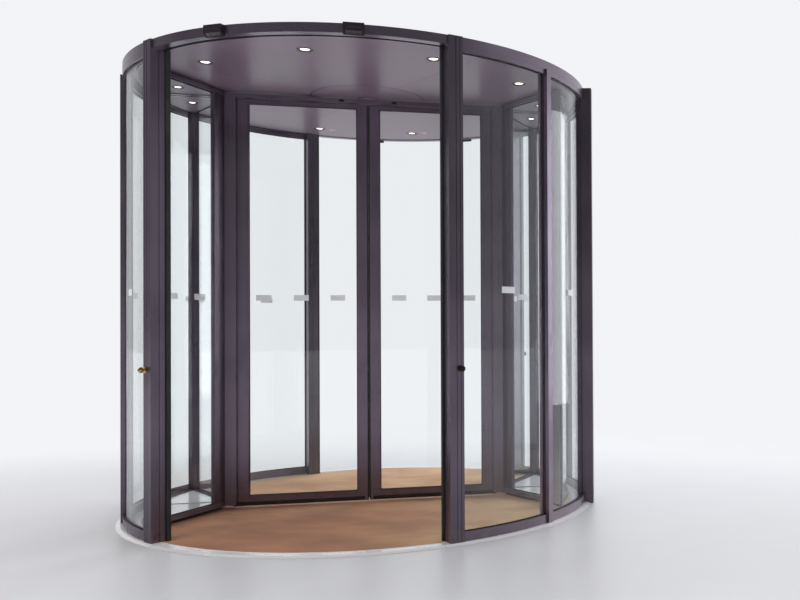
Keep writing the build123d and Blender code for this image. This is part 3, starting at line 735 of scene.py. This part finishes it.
def wall_bays():
    """Start and stop angle of the eight curved panes."""
    post = OPENING_HALF + POST_SPAN
    jamb = math.degrees(math.asin(JAMB_HALF / PANE_RADIUS))
    first, second = MULLION_ANGLE - MULLION_HALF, MULLION_ANGLE + MULLION_HALF
    bays = [(post, first), (second, 90.0 - jamb)]
    bays += [(180.0 - stop, 180.0 - start) for start, stop in reversed(bays)]
    return [(start + turn, stop + turn) for turn in (0.0, 180.0) for start, stop in bays]


def end_posts():
    """Opening edge and direction away from the opening of the four end posts."""
    return [(OPENING_HALF, 1), (-OPENING_HALF, -1), (180.0 + OPENING_HALF, 1), (180.0 - OPENING_HALF, -1)]


def wing_corner():
    """Corner of a showcase's outline, drawn along +X."""
    turn = math.radians(WING_HALF_ANGLE)
    return Vector((WING_RADIUS * math.cos(turn), WING_RADIUS * math.sin(turn)))


def wing_side(sign, inset, start, stop):
    """Two points along a showcase's straight side, in from its outline, counted from the corner."""
    corner, apex = wing_corner(), Vector(WING_APEX)
    along = (apex - corner).normalized()
    inward = Vector((-along.y, along.x))
    points = [corner + along * place + inward * inset for place in (start, (apex - corner).length - stop)]
    return [(point.x, sign * point.y) for point in points]


def wing_end(inset, trim):
    """Points along a showcase's curved end, in from its outline."""
    half = WING_HALF_ANGLE - math.degrees(trim / WING_RADIUS)
    angles = [math.radians(-half + 2 * half * count / 28) for count in range(29)]
    reach = WING_RADIUS - inset
    return [(reach * math.cos(angle), reach * math.sin(angle)) for angle in angles]


def wing_runs(inset, trim, apex_trim):
    """The two sides and the end of a showcase as rows of points."""
    return [*(wing_side(sign, inset, trim, apex_trim) for sign in (1, -1)), wing_end(inset, trim)]


def sweep_wings(shape, section, trim, apex_trim):
    """Sweep a section of inset and height along the sides and ends of both showcases."""
    rows = [wing_runs(inset, trim, apex_trim) for inset, height in section]
    heights = [height for inset, height in section]
    for side in (1, -1):
        for runs in zip(*rows):
            rings = [[(*point, height) for point, height in zip(points, heights)] for points in zip(*runs)]
            shape.loft(rings, place=in_rotor(side))


class REVDOOR_OT_profiles(bpy.types.Operator):
    """Coat the posts, jambs, mullions, rails, fascias, beam and leaf frames"""

    bl_idname = "revdoor.profiles"
    bl_label = "Coat the profiles"

    def execute(self, context):
        posts = [f"{end}_{post}" for end in ("inner", "outer") for post in both("post")]
        dress("Upright bronze", *posts, *both("jamb_post"))
        dress("Slim bronze", *both("mullions", "showcase_posts", "leaf_frame"))
        dress("Round bronze", "inner_fascia", "outer_fascia",
              *both("fascia", "wall_bottom_rail", "wall_top_rail"))
        dress("Wing bronze", "track_beam", *both("showcase_rails"))
        return {"FINISHED"}


class REVDOOR_OT_glass(bpy.types.Operator):
    """Finish the curved and the flat glass"""

    bl_idname = "revdoor.glass"
    bl_label = "Glaze the door"

    def execute(self, context):
        dress("Curved glass", *both("wall_glass"))
        dress("Flat glass", *both("showcase_glass", "leaf_glass"))
        return {"FINISHED"}


class REVDOOR_OT_seals(bpy.types.Operator):
    """Set the glazing gaskets, glazing beads, meeting seals and safety edges"""

    bl_idname = "revdoor.seals"
    bl_label = "Set the seals"

    def execute(self, context):
        sizes = context.scene.door_sizes
        dress("Black rubber", "safety_edges")
        self.wall_gaskets(sizes.gasket_width, sizes.gasket_height)
        self.showcase_gaskets(sizes.gasket_width, sizes.gasket_height)
        for side, name in SIDES:
            self.leaf_seals(in_rotor(side), f"{name}_leaf", sizes.gasket_width)
        return {"FINISHED"}

    def wall_gaskets(self, wide, tall):
        """Gaskets around both faces of each curved pane."""
        shape = Shape()
        turn = math.degrees(tall / PANE_RADIUS)
        for start, stop in wall_bays():
            for sign in (-1, 1):
                near = PANE_RADIUS + sign * PANE_HALF
                far = near + sign * wide
                for level, rise in ((WALL_RAIL_TOP, 1), (WALL_RAIL_UNDER, -1)):
                    section = [(near, level - rise * 0.001), (far, level - rise * 0.001),
                               (far, level + rise * tall * 0.6), (near, level + rise * tall)]
                    shape.arc(section, start, stop)
                for edge, inward in ((start, turn), (stop, -turn)):
                    plan = [(near, edge), (far, edge), (far, edge + inward * 0.6), (near, edge + inward)]
                    shape.loft([[drum_point(radius, angle, height) for radius, angle in plan]
                                for height in (WALL_RAIL_TOP, WALL_RAIL_UNDER)])
        shape.piece("wall_gaskets", "Black rubber", "drum", "black_rubber")

    def showcase_gaskets(self, wide, tall):
        """Gaskets at the foot and head of the showcases' panes."""
        shape = Shape()
        for inset, sign in ((WING_GLASS[0], -1), (WING_GLASS[1], 1)):
            far = inset + sign * wide
            for level, rise in ((WING_RAIL_TOP, 1), (WING_RAIL_UNDER, -1)):
                section = [(inset, level), (far, level), (far, level + rise * tall * 0.6),
                           (inset, level + rise * tall)]
                sweep_wings(shape, section, CORNER_ZONE - 0.002, 0.006)
        shape.piece("showcase_gaskets", "Black rubber", "rotor", "black_rubber")

    def leaf_seals(self, turned, leaf, wide):
        """Gaskets, snap-in beads, meeting seals and strips, and the skirt of one leaf."""
        gasket, bead = Shape(), Shape()
        for sign in (-1, 1):
            skin, ledge, face = sign * LEAF_GLASS_HALF, sign * 0.011, sign * LEAF_HALF
            section = [(0.0, skin), (wide + 0.001, skin), (wide, ledge), (0.0, ledge)]
            gasket.border(LEAF_SIGHT, LEAF_SIGHT_Z, section, turned)
            section = [(-0.0078, ledge), (-0.0078, face - sign * 0.0012), (-0.0030, face - sign * 0.0004),
                       (0.0, face - sign * 0.0030), (0.0, ledge)]
            bead.border(LEAF_SIGHT, LEAF_SIGHT_Z, section, turned)
        upright = (ROTOR_LOW + 0.004, BEAM_LOW - 0.010)
        for middle in (-0.0105, 0.0105):
            outline = [(LEAF_START, middle - 0.004), (LEAF_START, middle + 0.004), (0.0012, middle + 0.0032),
                       (0.0004, middle), (0.0012, middle - 0.0032)]
            gasket.prism(outline, *upright, turned)
        strip, skirt = (LEAF_START, LEAF_START + 0.0095), (ROTOR_LOW, ROTOR_LOW + 0.015)
        for x, z in ((strip, upright), (LEAF_FOOT, skirt)):
            gasket.pair(x, LEAF_HALF - 0.001, LEAF_HALF + 0.0006, z, turned)
        gasket.piece(f"{leaf}_seals", "Black rubber", leaf, "black_rubber")
        bead.piece(f"{leaf}_beads", "Slim bronze", leaf, "bronze_metal")


class REVDOOR_OT_floor(bpy.types.Operator):
    """Lay the mat, polish the ring and set its screws, joints and edge trim"""

    bl_idname = "revdoor.floor"
    bl_label = "Lay the floor"

    def execute(self, context):
        dress("Coir", "floor_mat")
        dress("Ring steel", "floor_ring")
        screws, joints, trim = Shape(), Shape(), Shape()
        section = [(1.7042, MAT_TOP - 0.002), (1.7078, MAT_TOP - 0.002), (1.7078, MAT_TOP + 0.0012),
                   (1.7066, MAT_TOP + 0.0020), (1.7042, MAT_TOP + 0.0020)]
        count = context.scene.door_sizes.ring_screws
        for middle in (0.0, 180.0):
            for index in range(count):
                angle = middle + (index + 0.5) * RING_SCREW_SPREAD / count - RING_SCREW_SPREAD / 2
                screws.screw(drum_spot(RING_SCREW_CIRCLE, angle, MAT_TOP), 0.0055)
            trim.arc(section, middle - OPENING_HALF + 0.2, middle + OPENING_HALF - 0.2)
        half = math.degrees(0.0008 / RING_RADIUS)
        for inner, angles in ((1.706, (-32.6, 32.6, 147.4, 212.6)), (1.7725, (62.5, 117.5, 242.5, 297.5))):
            section = [(inner, MAT_TOP - 0.001), (1.7715, MAT_TOP + 0.0002), (RING_RADIUS - 0.0005, 0.0030),
                       (RING_RADIUS - 0.0005, 0.0010)]
            for angle in angles:
                joints.arc(section, angle - half, angle + half)
        screws.piece("ring_screws", "Zinc screw", "drum", "stainless_ring")
        joints.piece("ring_joints", "Black rubber", "drum", "black_rubber")
        trim.piece("mat_edge_trim", "Ring steel", "drum", "stainless_ring")
        return {"FINISHED"}


class REVDOOR_OT_canopy(bpy.types.Operator):
    """Paint the soffit, head and roof, and fit the roof's seams and the drive cover's bolts"""

    bl_idname = "revdoor.canopy"
    bl_label = "Finish the canopy"

    def execute(self, context):
        dress("Soffit paint", "canopy_soffit", "rotor_head")
        dress("Roof sheet", "canopy_roof", "drive_unit")
        seams, screws = Shape(), Shape()
        for count in range(4):
            place = Matrix.Rotation(math.radians(45.0 + 90.0 * count), 4, "Z")
            outline = [(-0.020, 0.0), (-0.016, 0.0022), (0.016, 0.0022), (0.020, 0.0)]
            rings = [[(reach, across, ROOF_TOP + rise) for across, rise in outline]
                     for reach in ROOF_SEAM]
            seams.loft(rings, place=place)
            for step in range(9):
                screws.screw(place @ Matrix.Translation((0.40 + step * 0.148, 0.0, ROOF_TOP + 0.0024)))
        for count in range(48):
            screws.screw(drum_spot(ROOF_SCREW_CIRCLE, 3.75 + count * 7.5, ROOF_TOP + 0.0005))
        seams.piece("roof_seam_covers", "Roof sheet", "drum", "head_paint")
        self.drive_bolts(screws)
        screws.piece("roof_screws", "Zinc screw", "drum", "head_paint")
        self.soffit_joints()
        return {"FINISHED"}

    def drive_bolts(self, screws):
        """Hexagon bolts round the flange of the drive cover and screws in its lid."""
        for count in range(12):
            place = drum_spot(COVER_BOLT_CIRCLE, 15.0 + count * 30.0, ROOF_TOP + 0.006)
            screws.lathe([(0.0105, 0.0), (0.0105, 0.0016), (0.0070, 0.0017)], place, steps=20)
            screws.lathe([(0.0075, 0.0016), (0.0075, 0.0064), (0.0068, 0.0072)], place, steps=6)
        head = [(0.0050, 0.0), (0.0050, 0.0004), (0.0040, 0.0008), (0.0016, 0.0008)]
        for count in range(8):
            screws.lathe(head, drum_spot(LID_SCREW_CIRCLE, count * 45.0, COVER_TOP - 0.0008), steps=12)

    def soffit_joints(self):
        """Hairline joints between the four sheets of the soffit."""
        lines = Shape()
        for angle in (-45.0, 45.0, 135.0, 225.0):
            across = drum_point(0.0007, angle + 90.0, 0.0)
            rings = []
            for reach in SOFFIT_JOINT:
                under, over = (drum_point(reach, angle, SOFFIT_Z + rise) for rise in (-0.0003, 0.001))
                rings.append([under - across, under + across, over + across, over - across])
            lines.loft(rings)
        lines.piece("soffit_joints", "Black rubber", "drum", "soffit_paint")


class REVDOOR_OT_lamps(bpy.types.Operator):
    """Fit the lenses and baffles of the downlights"""

    bl_idname = "revdoor.lamps"
    bl_label = "Fit the lamps"

    def execute(self, context):
        dress("Lamp trim", "canopy_downlights", "showcase_downlights")
        places = [drum_spot(DOWNLIGHT_CIRCLE, count * 360.0 / DOWNLIGHTS, SOFFIT_Z)
                  for count in range(DOWNLIGHTS)]
        self.row("canopy", "drum", places, mouth=0.0405, recess=0.0090)
        places = [in_rotor(side) @ Matrix.Translation((WING_LAMP_REACH, across, WING_RAIL_UNDER))
                  for side in (1, -1) for across in (-WING_LAMP_OFFSET, WING_LAMP_OFFSET)]
        self.row("showcase", "rotor", places, mouth=0.0335, recess=0.0080)
        return {"FINISHED"}

    def row(self, name, body, places, mouth, recess):
        """A stepped baffle ring and a domed lens inside each can."""
        lens, baffle = Shape(), Shape()
        inner = mouth - 0.0085
        dome = [(inner, recess - 0.0010), (inner, recess - 0.0035), (inner * 0.86, recess - 0.0068),
                (inner * 0.55, recess - 0.0088), (inner * 0.20, recess - 0.0094)]
        steps = 4
        section = []
        for index in range(steps):
            reach = mouth - 0.0012 - index * 0.0018
            height = -0.0010 + index * (recess - 0.001) / steps
            section += [(reach, height), (reach - 0.0014, height + 0.0006)]
        section.append((mouth - 0.0004, recess - 0.0010))
        around = [[(radius * math.cos(turn), radius * math.sin(turn), height) for radius, height in section]
                  for turn in (2 * math.pi * count / 32 for count in range(32))]
        for place in places:
            lens.lathe(dome, place, steps=32)
            baffle.loft(around, wrap=True, place=place)
        lens.piece(f"{name}_lamp_lenses", "Lamp lens", body, "downlight_trim")
        baffle.piece(f"{name}_lamp_baffles", "Lamp baffle", body, "downlight_trim")


class REVDOOR_OT_sensors(bpy.types.Operator):
    """Fit windows, eyes and screws to the motion sensors"""

    bl_idname = "revdoor.sensors"
    bl_label = "Fit the sensors"

    def execute(self, context):
        dress("Sensor shell", "motion_sensors")
        windows, screws = Shape(), Shape()
        dome = [(0.0080, 0.0), (0.0078, 0.0010), (0.0060, 0.0022), (0.0020, 0.0028)]
        for middle in (-SENSOR_ANGLE, SENSOR_ANGLE, 180.0 - SENSOR_ANGLE, 180.0 + SENSOR_ANGLE):
            face = facing_out(middle, SENSOR_FACE, bottom("motion_sensors"))
            slope = face @ Matrix.Translation((0.0, 0.012, -0.012))
            slope = slope @ Matrix.Rotation(math.radians(45.0), 4, "X")
            self.pad(windows, slope, 0.050, 0.0115, 0.0010)
            self.pad(windows, face @ Matrix.Translation((0.0, 0.047, 0.0)), 0.046, 0.0075, -0.0012)
            for across in (-0.024, 0.024):
                windows.lathe(dome, slope @ Matrix.Translation((across, 0.0, 0.0008)), steps=20)
            for across in (-0.057, 0.057):
                screws.screw(face @ Matrix.Translation((across, 0.060, -0.0012)), 0.0035)
        windows.piece("sensor_windows", "Sensor window", "drum", "sensor_plastic")
        screws.piece("sensor_screws", "Zinc screw", "drum", "sensor_plastic")
        return {"FINISHED"}

    def pad(self, shape, place, half_width, half_height, proud):
        """A thin window with chamfered edges."""
        rings = []
        for inset, height in ((0.0, -0.001), (0.0, proud * 0.5), (0.0012, max(proud, 0.0002))):
            x, y = half_width - inset, half_height - inset
            rings.append([(-x, -y, height), (x, -y, height), (x, y, height), (-x, y, height)])
        shape.loft(rings, place=place)


class REVDOOR_OT_brushes(bpy.types.Operator):
    """Set the bristles and holders of the brush strips"""

    bl_idname = "revdoor.brushes"
    bl_label = "Set the brushes"

    def execute(self, context):
        chance = random.Random(7)
        brush = Brush(chance)
        floor_gap = ROTOR_LOW - bottom("rotor_brushes")
        head_gap = top("rotor_brushes") - ROTOR_HIGH
        for side in (1, -1):
            turned = in_rotor(side)
            for run in wing_runs(0.022, 0.010, 0.008):
                for ends in zip(run, run[1:]):
                    for level, lean, length in ((ROTOR_LOW, -UP, floor_gap), (ROTOR_HIGH, UP, head_gap)):
                        start, stop = (turned @ Vector((x, y, level)) for x, y in ends)
                        brush.strip(start, stop, lean, length, BRUSH_ROWS)
            for sign in (-1, 1):
                angle = math.radians(sign * EDGE_BRUSH_ANGLE)
                out = (turned @ Vector((math.cos(angle), math.sin(angle), 0.0))).normalized()
                start, stop = (out * WING_RADIUS + UP * level for level in (ROTOR_LOW, ROTOR_HIGH))
                brush.strip(start, stop, out, EDGE_BRUSH_LENGTH, EDGE_BRUSH_ROWS, out.cross(UP))
            start, stop = (turned @ Vector((reach, 0.0, ROTOR_HIGH)) for reach in BEAM_BRUSH)
            brush.strip(start, stop, UP, head_gap, BEAM_BRUSH_ROWS)
        brush.piece("rotor_bristles", "rotor", "rotor_brushes")
        self.holders()
        for side, name in SIDES:
            self.leaf_brush(in_rotor(side), f"{name}_leaf", floor_gap, chance)
        return {"FINISHED"}

    def holders(self):
        """Holder rails over the floor brushes and along the upright edge brushes."""
        rails = Shape()
        shell = [(0.0155, ROTOR_LOW), (0.0285, ROTOR_LOW), (0.0285, HOLDER_FOOT), (0.0155, HOLDER_FOOT)]
        core = [(0.0205, ROTOR_LOW), (0.0235, ROTOR_LOW), (0.0230, CORE_FOOT), (0.0210, CORE_FOOT)]
        sweep_wings(rails, shell, 0.004, 0.006)
        sweep_wings(rails, core, 0.010, 0.008)
        for side in (1, -1):
            for sign in (-1, 1):
                for offset in (-0.45, 0.45):
                    angle = math.radians(sign * EDGE_BRUSH_ANGLE + offset * BRUSH_SPAN)
                    spot = Vector((math.cos(angle), math.sin(angle)))
                    cross = Vector((-spot.y, spot.x)) * 0.0008
                    near, far = spot * WING_RADIUS, spot * (WING_RADIUS + 0.007)
                    plan = [tuple(point) for point in (near + cross, near - cross, far - cross, far + cross)]
                    rails.prism(plan, ROTOR_LOW, ROTOR_HIGH, in_rotor(side))
        rails.piece("brush_holders", "Brush holder", "rotor", "brush_pile")

    def leaf_brush(self, turned, leaf, length, chance):
        """Bristles and holder under one leaf."""
        brush, rail = Brush(chance), Shape()
        start, stop = (turned @ Vector((reach, 0.0, ROTOR_LOW)) for reach in LEAF_FOOT)
        brush.strip(start, stop, -UP, length, BRUSH_ROWS)
        brush.piece(f"{leaf}_bristles", leaf, f"{leaf}_brush")
        rail.pair(LEAF_FOOT, 0.0050, 0.0065, (HOLDER_FOOT, ROTOR_LOW), turned)
        rail.block(LEAF_FOOT, (-0.0015, 0.0015), (CORE_FOOT, ROTOR_LOW), turned)
        rail.piece(f"{leaf}_brush_holder", "Brush holder", leaf, "brush_pile")


class REVDOOR_OT_hardware(bpy.types.Operator):
    """Fit the lock knobs, hanger covers, floor guides, pocket seals and post screws"""

    bl_idname = "revdoor.hardware"
    bl_label = "Fit the hardware"

    def execute(self, context):
        self.knobs()
        self.beam_covers()
        self.leaf_guides()
        self.pocket_seals()
        self.post_screws()
        return {"FINISHED"}

    def knobs(self):
        """Fluted turned knobs on round plates, each with a small button at its end."""
        profile = [(0.0060, 0.0035), (0.0095, 0.0035), (0.0080, 0.0060), (0.0080, 0.0150), (0.0130, 0.0170),
                   (0.0180, 0.0185), (0.0188, 0.0205, 1), (0.0188, 0.0330, 1), (0.0180, 0.0350),
                   (0.0150, 0.0370), (0.0085, 0.0378), (0.0080, 0.0400), (0.0080, 0.0450), (0.0070, 0.0465),
                   (0.0030, 0.0470)]
        plate = [(0.0215, 0.0), (0.0215, 0.0016), (0.0195, 0.0030), (0.0120, 0.0034), (0.0060, 0.0036)]
        bright, dark = Shape(), Shape()
        # The two knobs on the +X side get the brass darkened almost black as painted shade.
        for shape, (edge, direction) in zip((dark, bright, bright, dark), end_posts()):
            place = facing_out(edge + direction * KNOB_TURN, POST_OUTER, KNOB_HEIGHT)
            shape.lathe(profile, place, steps=72, flutes=24, depth=0.00035)
            shape.lathe(plate, place, steps=40)
        made = bright.piece("left_lock_knobs", "Turned brass", "drum", "brass_knob")
        dark.piece("right_lock_knobs", "Shaded brass", "drum", "brass_knob")
        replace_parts(made, "lock_knobs")

    def beam_covers(self):
        """Small dark covers over the hangers on both faces of the beam."""
        covers = Shape()
        for reach in (-HANGER_REACH, HANGER_REACH):
            covers.pair((reach - 0.019, reach + 0.019), BEAM_HALF, BEAM_HALF + 0.0030,
                        (BEAM_LOW + 0.008, BEAM_LOW + 0.026), in_rotor())
        covers.piece("beam_hanger_covers", "Sensor shell", "rotor", "bronze_metal", 0.001)

    def leaf_guides(self):
        """Bright guide blocks and end caps at the foot of the meeting stiles."""
        for side, name in SIDES:
            guide = Shape()
            guide.pair((0.013, 0.031), LEAF_HALF, LEAF_HALF + 0.0022,
                       (ROTOR_LOW + 0.001, ROTOR_LOW + 0.026), in_rotor(side))
            guide.block((0.008, 0.031), (-0.0075, 0.0075), (0.024, ROTOR_LOW), in_rotor(side))
            guide.piece(f"{name}_leaf_guide", "Guide steel", f"{name}_leaf", "stainless_ring", 0.0008)

    def pocket_seals(self):
        """Pile seals in the mouths of the pockets, beside the leaves."""
        seals = Shape()
        for side in (1, -1):
            seals.pair(POCKET_SEAL, POCKET_HALF, LEAF_HALF + 0.0008,
                       (ROTOR_LOW + 0.002, BEAM_LOW - 0.004), in_rotor(side))
        seals.piece("pocket_seals", "Brush pile", "rotor", "brush_pile")

    def post_screws(self):
        """Screws in the outer grooves of the end posts."""
        screws = Shape()
        for edge, direction in end_posts():
            for along in (0.064, 0.090):
                for height in (0.060, 3.200):
                    angle = edge + direction * math.degrees(along / POST_OUTER)
                    screws.screw(facing_out(angle, POST_OUTER, height), 0.0042)
        screws.piece("post_screws", "Upright bronze", "drum", "bronze_metal")


class REVDOOR_OT_markings(bpy.types.Operator):
    """Put the plain marking films on the glass"""

    bl_idname = "revdoor.markings"
    bl_label = "Mark the glass"

    def execute(self, context):
        sizes = context.scene.door_sizes
        half, rise = sizes.marking_width / 2, sizes.marking_height / 2
        z = (sizes.marking_level - rise, sizes.marking_level + rise)
        for side, name in SIDES:
            leaf = Shape()
            for middle in LEAF_FILMS:
                leaf.pair((middle - half, middle + half), LEAF_GLASS_HALF, LEAF_GLASS_HALF + 0.0004, z,
                          in_rotor(side))
            leaf.piece(f"{name}_leaf_markings", "Marking film", f"{name}_leaf", "clear_glass")
        self.wall_films(half, rise, sizes.marking_level + 0.016)
        self.wing_films(half, z)
        return {"FINISHED"}

    def wall_films(self, half, rise, level):
        """Films on the outside of the curved panes."""
        walls = Shape()
        turn = math.degrees(half / PANE_RADIUS)
        near = PANE_RADIUS + PANE_HALF
        far = near + 0.0005
        section = [(near, level - rise), (far, level - rise), (far, level + rise), (near, level + rise)]
        for start, stop in wall_bays():
            middle = (start + stop) / 2
            walls.arc(section, middle - turn, middle + turn, 1.0)
        walls.piece("wall_markings", "Marking film", "drum", "clear_glass")

    def wing_films(self, half, z):
        """Films on the inner faces of the showcases' side panes."""
        wings = Shape()
        length = (wing_corner() - Vector(WING_APEX)).length
        for side in (1, -1):
            for sign in (-1, 1):
                for middle in (length * 0.30, length * 0.68):
                    inner, outer = (wing_side(sign, inset, middle - half, length - middle - half)
                                    for inset in (WING_GLASS[1] + 0.0005, WING_GLASS[1]))
                    wings.prism([*inner, *reversed(outer)], *z, in_rotor(side))
        wings.piece("showcase_markings", "Marking film", "rotor", "clear_glass")


class REVDOOR_OT_showcases(bpy.types.Operator):
    """Paint the showcase plates, and fit their edge trims and the covers beside the pockets"""

    bl_idname = "revdoor.showcases"
    bl_label = "Finish the showcases"

    def execute(self, context):
        dress("Showcase paint", *both("showcase_plates"))
        trims, covers = Shape(), Shape()
        foot = [(0.0425, 0.0), (0.0480, 0.0), (0.0480, 0.0018), (0.0425, 0.0024)]
        head = [(0.0425, -0.0096), (0.0480, -0.0092), (0.0480, -0.0080), (0.0425, -0.0080)]
        grooved = [(0.004, 0.001), (0.004, 0.052), (0.007, 0.055), (0.004, 0.058), (0.004, 0.104),
                   (0.010, 0.110), (0.034, 0.110), (0.040, 0.104), (0.040, 0.001)]
        for level, outline in ((WING_FLOOR, foot), (PLATE_TOP, head)):
            section = [(inset, level + rise) for inset, rise in outline]
            sweep_wings(trims, section, CORNER_ZONE + 0.002, 0.030)
        for side in (1, -1):
            for sign in (1, -1):
                outline = [wing_side(sign, inset, 0.0, reach)[1] for inset, reach in grooved]
                covers.prism(outline, WING_RAIL_TOP, WING_RAIL_UNDER, in_rotor(side))
        trims.piece("showcase_plate_trims", "Wing bronze", "rotor", "bronze_metal")
        covers.piece("apex_covers", "Upright bronze", "rotor", "bronze_metal", 0.0008)
        return {"FINISHED"}


class REVDOOR_OT_stage(bpy.types.Operator):
    """Set the studio floor, the world, the lamps and the camera"""

    bl_idname = "revdoor.stage"
    bl_label = "Set the stage"

    def execute(self, context):
        stage = context.scene.door_stage
        self.floor(stage)
        self.world(stage)
        window = (4.0, 4.4)
        self.lamp("Lobby key", (-4.2, -7.0, 5.2), (0.0, 0.0, 1.5), (5.0, 4.0), 280.0, (1.0, 0.97, 0.95))
        self.lamp("Street key", (2.0, 7.5, 3.8), (0.0, 0.0, 0.8), (6.0, 4.0), 350.0, (0.97, 0.98, 1.0))
        self.lamp("Right window", (7.2, 3.6, 2.4), (1.6, -0.3, 1.8), window, 110.0, (0.96, 0.97, 1.0), True)
        self.lamp("Left window", (-7.2, 3.6, 2.4), (-1.6, -0.3, 1.8), window, 60.0, (1.0, 0.98, 0.96))
        self.camera(stage)
        context.scene.view_settings.view_transform = "Standard"
        context.scene.cycles.transparent_max_bounces = stage.panes_in_line * 2
        return {"FINISHED"}

    def floor(self, stage):
        """A pale floor, slightly glossy, that fades into the backdrop."""
        ground = Finish("Studio floor")
        haze = ground.noise(2.4, 3.0)
        colour = ground.mix(haze, dimmed(stage.floor_colour, 0.93), stage.floor_colour)
        lit = ground.surface(Base_Color=colour, Roughness=0.34 + haze * 0.08)
        far = (ground.radius() + ground.y.rise(1.0, 4.0) * 1.5).rise(2.6, 7.0)
        glow = ground.node("ShaderNodeEmission", {}, {"Color": stage.backdrop, "Strength": 1.0})
        made = ground.done(ground.node("ShaderNodeMixShader", {}, {0: far, 1: lit, 2: glow}))
        half = stage.floor_size / 2
        data = bpy.data.meshes.new("studio_floor")
        corners = [(-half, -half, 0.0), (half, -half, 0.0), (half, half, 0.0), (-half, half, 0.0)]
        data.from_pydata(corners, [], [(0, 1, 2, 3)])
        data.materials.append(made)
        floor = bpy.data.objects.new("studio_floor", data)
        floor.location.z = -0.0008
        bpy.context.scene.collection.objects.link(floor)

    def world(self, stage):
        """One pale backdrop for the camera; sky light and reflections are brighter on the street side."""
        world = Finish("Studio", world=True)
        seen, clear, shine = (world.node("ShaderNodeLightPath", {}, {}, kind)
                              for kind in ("Is Camera Ray", "Is Transmission Ray", "Is Glossy Ray"))
        seen = seen.maths("MAXIMUM", seen, clear)
        street = (world.x * 0.3 + world.y * 0.9).rise(-0.4, 0.7)
        light = stage.lobby_light + street * (stage.street_light - stage.lobby_light)
        mirrored = stage.lobby_shine + street * (1.0 - stage.lobby_shine)
        light = light + (mirrored - light) * shine
        light = light + (1.0 - light) * seen
        colour = world.mix(seen.maths("MAXIMUM", seen, shine), (0.96, 0.97, 1.0), stage.backdrop)
        sky = world.node("ShaderNodeBackground", {}, {"Color": colour, "Strength": light})
        bpy.context.scene.world = world.done(sky)

    def lamp(self, name, place, aim, size, watts, colour, mirrored=False):
        """A soft studio lamp that the camera doesn't see, and gloss sees only where it is mirrored."""
        data = bpy.data.lights.new(name, "AREA")
        data.shape = "RECTANGLE"
        data.size, data.size_y = size
        data.energy = watts
        data.color = colour
        lamp = bpy.data.objects.new(name, data)
        bpy.context.scene.collection.objects.link(lamp)
        lamp.location = place
        lamp.rotation_mode = "QUATERNION"
        lamp.rotation_quaternion = (Vector(aim) - Vector(place)).to_track_quat("-Z", "Y")
        lamp.visible_camera = False
        lamp.visible_glossy = mirrored

    def camera(self, stage):
        """The camera at the photograph's place, at eye height in the lobby."""
        data = bpy.data.cameras.new("Camera")
        data.sensor_width = 36.0
        data.lens = stage.lens
        data.shift_x, data.shift_y = CAMERA_SHIFT
        camera = bpy.data.objects.new("Camera", data)
        bpy.context.scene.collection.objects.link(camera)
        yaw, pitch, roll = (math.radians(angle) for angle in CAMERA_TURN)
        turn = Matrix.Rotation(yaw, 4, "Z") @ Matrix.Rotation(math.pi / 2 + pitch, 4, "X")
        camera.matrix_world = Matrix.Translation(CAMERA_PLACE) @ turn @ Matrix.Rotation(roll, 4, "Z")
        bpy.context.scene.camera = camera


OPERATORS = (
    REVDOOR_OT_profiles, REVDOOR_OT_glass, REVDOOR_OT_seals, REVDOOR_OT_floor, REVDOOR_OT_canopy,
    REVDOOR_OT_lamps, REVDOOR_OT_sensors, REVDOOR_OT_brushes, REVDOOR_OT_hardware, REVDOOR_OT_markings,
    REVDOOR_OT_showcases, REVDOOR_OT_stage,
)


class REVDOOR_PT_sidebar(bpy.types.Panel):
    """The door's settings and steps"""

    bl_idname = "REVDOOR_PT_sidebar"
    bl_label = "Revolving Door"
    bl_space_type = "VIEW_3D"
    bl_region_type = "UI"
    bl_category = "Door"

    def draw(self, context):
        for group in (context.scene.door_finishes, context.scene.door_sizes, context.scene.door_stage):
            box = self.layout.box()
            for name in group.__annotations__:
                box.prop(group, name)
        for operator in OPERATORS:
            self.layout.operator(operator.bl_idname)


CLASSES = (DoorFinishes, DoorSizes, DoorStage, *OPERATORS, REVDOOR_PT_sidebar)


def register():
    for made in CLASSES:
        bpy.utils.register_class(made)
    bpy.types.Scene.door_finishes = PointerProperty(type=DoorFinishes)
    bpy.types.Scene.door_sizes = PointerProperty(type=DoorSizes)
    bpy.types.Scene.door_stage = PointerProperty(type=DoorStage)


def unregister():
    del bpy.types.Scene.door_stage
    del bpy.types.Scene.door_sizes
    del bpy.types.Scene.door_finishes
    for made in reversed(CLASSES):
        bpy.utils.unregister_class(made)


def main():
    """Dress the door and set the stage."""
    register()
    bpy.ops.revdoor.profiles()
    bpy.ops.revdoor.glass()
    bpy.ops.revdoor.seals()
    bpy.ops.revdoor.floor()
    bpy.ops.revdoor.canopy()
    bpy.ops.revdoor.lamps()
    bpy.ops.revdoor.sensors()
    bpy.ops.revdoor.brushes()
    bpy.ops.revdoor.hardware()
    bpy.ops.revdoor.markings()
    bpy.ops.revdoor.showcases()
    bpy.ops.revdoor.stage()


if __name__ == "__main__":
    main()
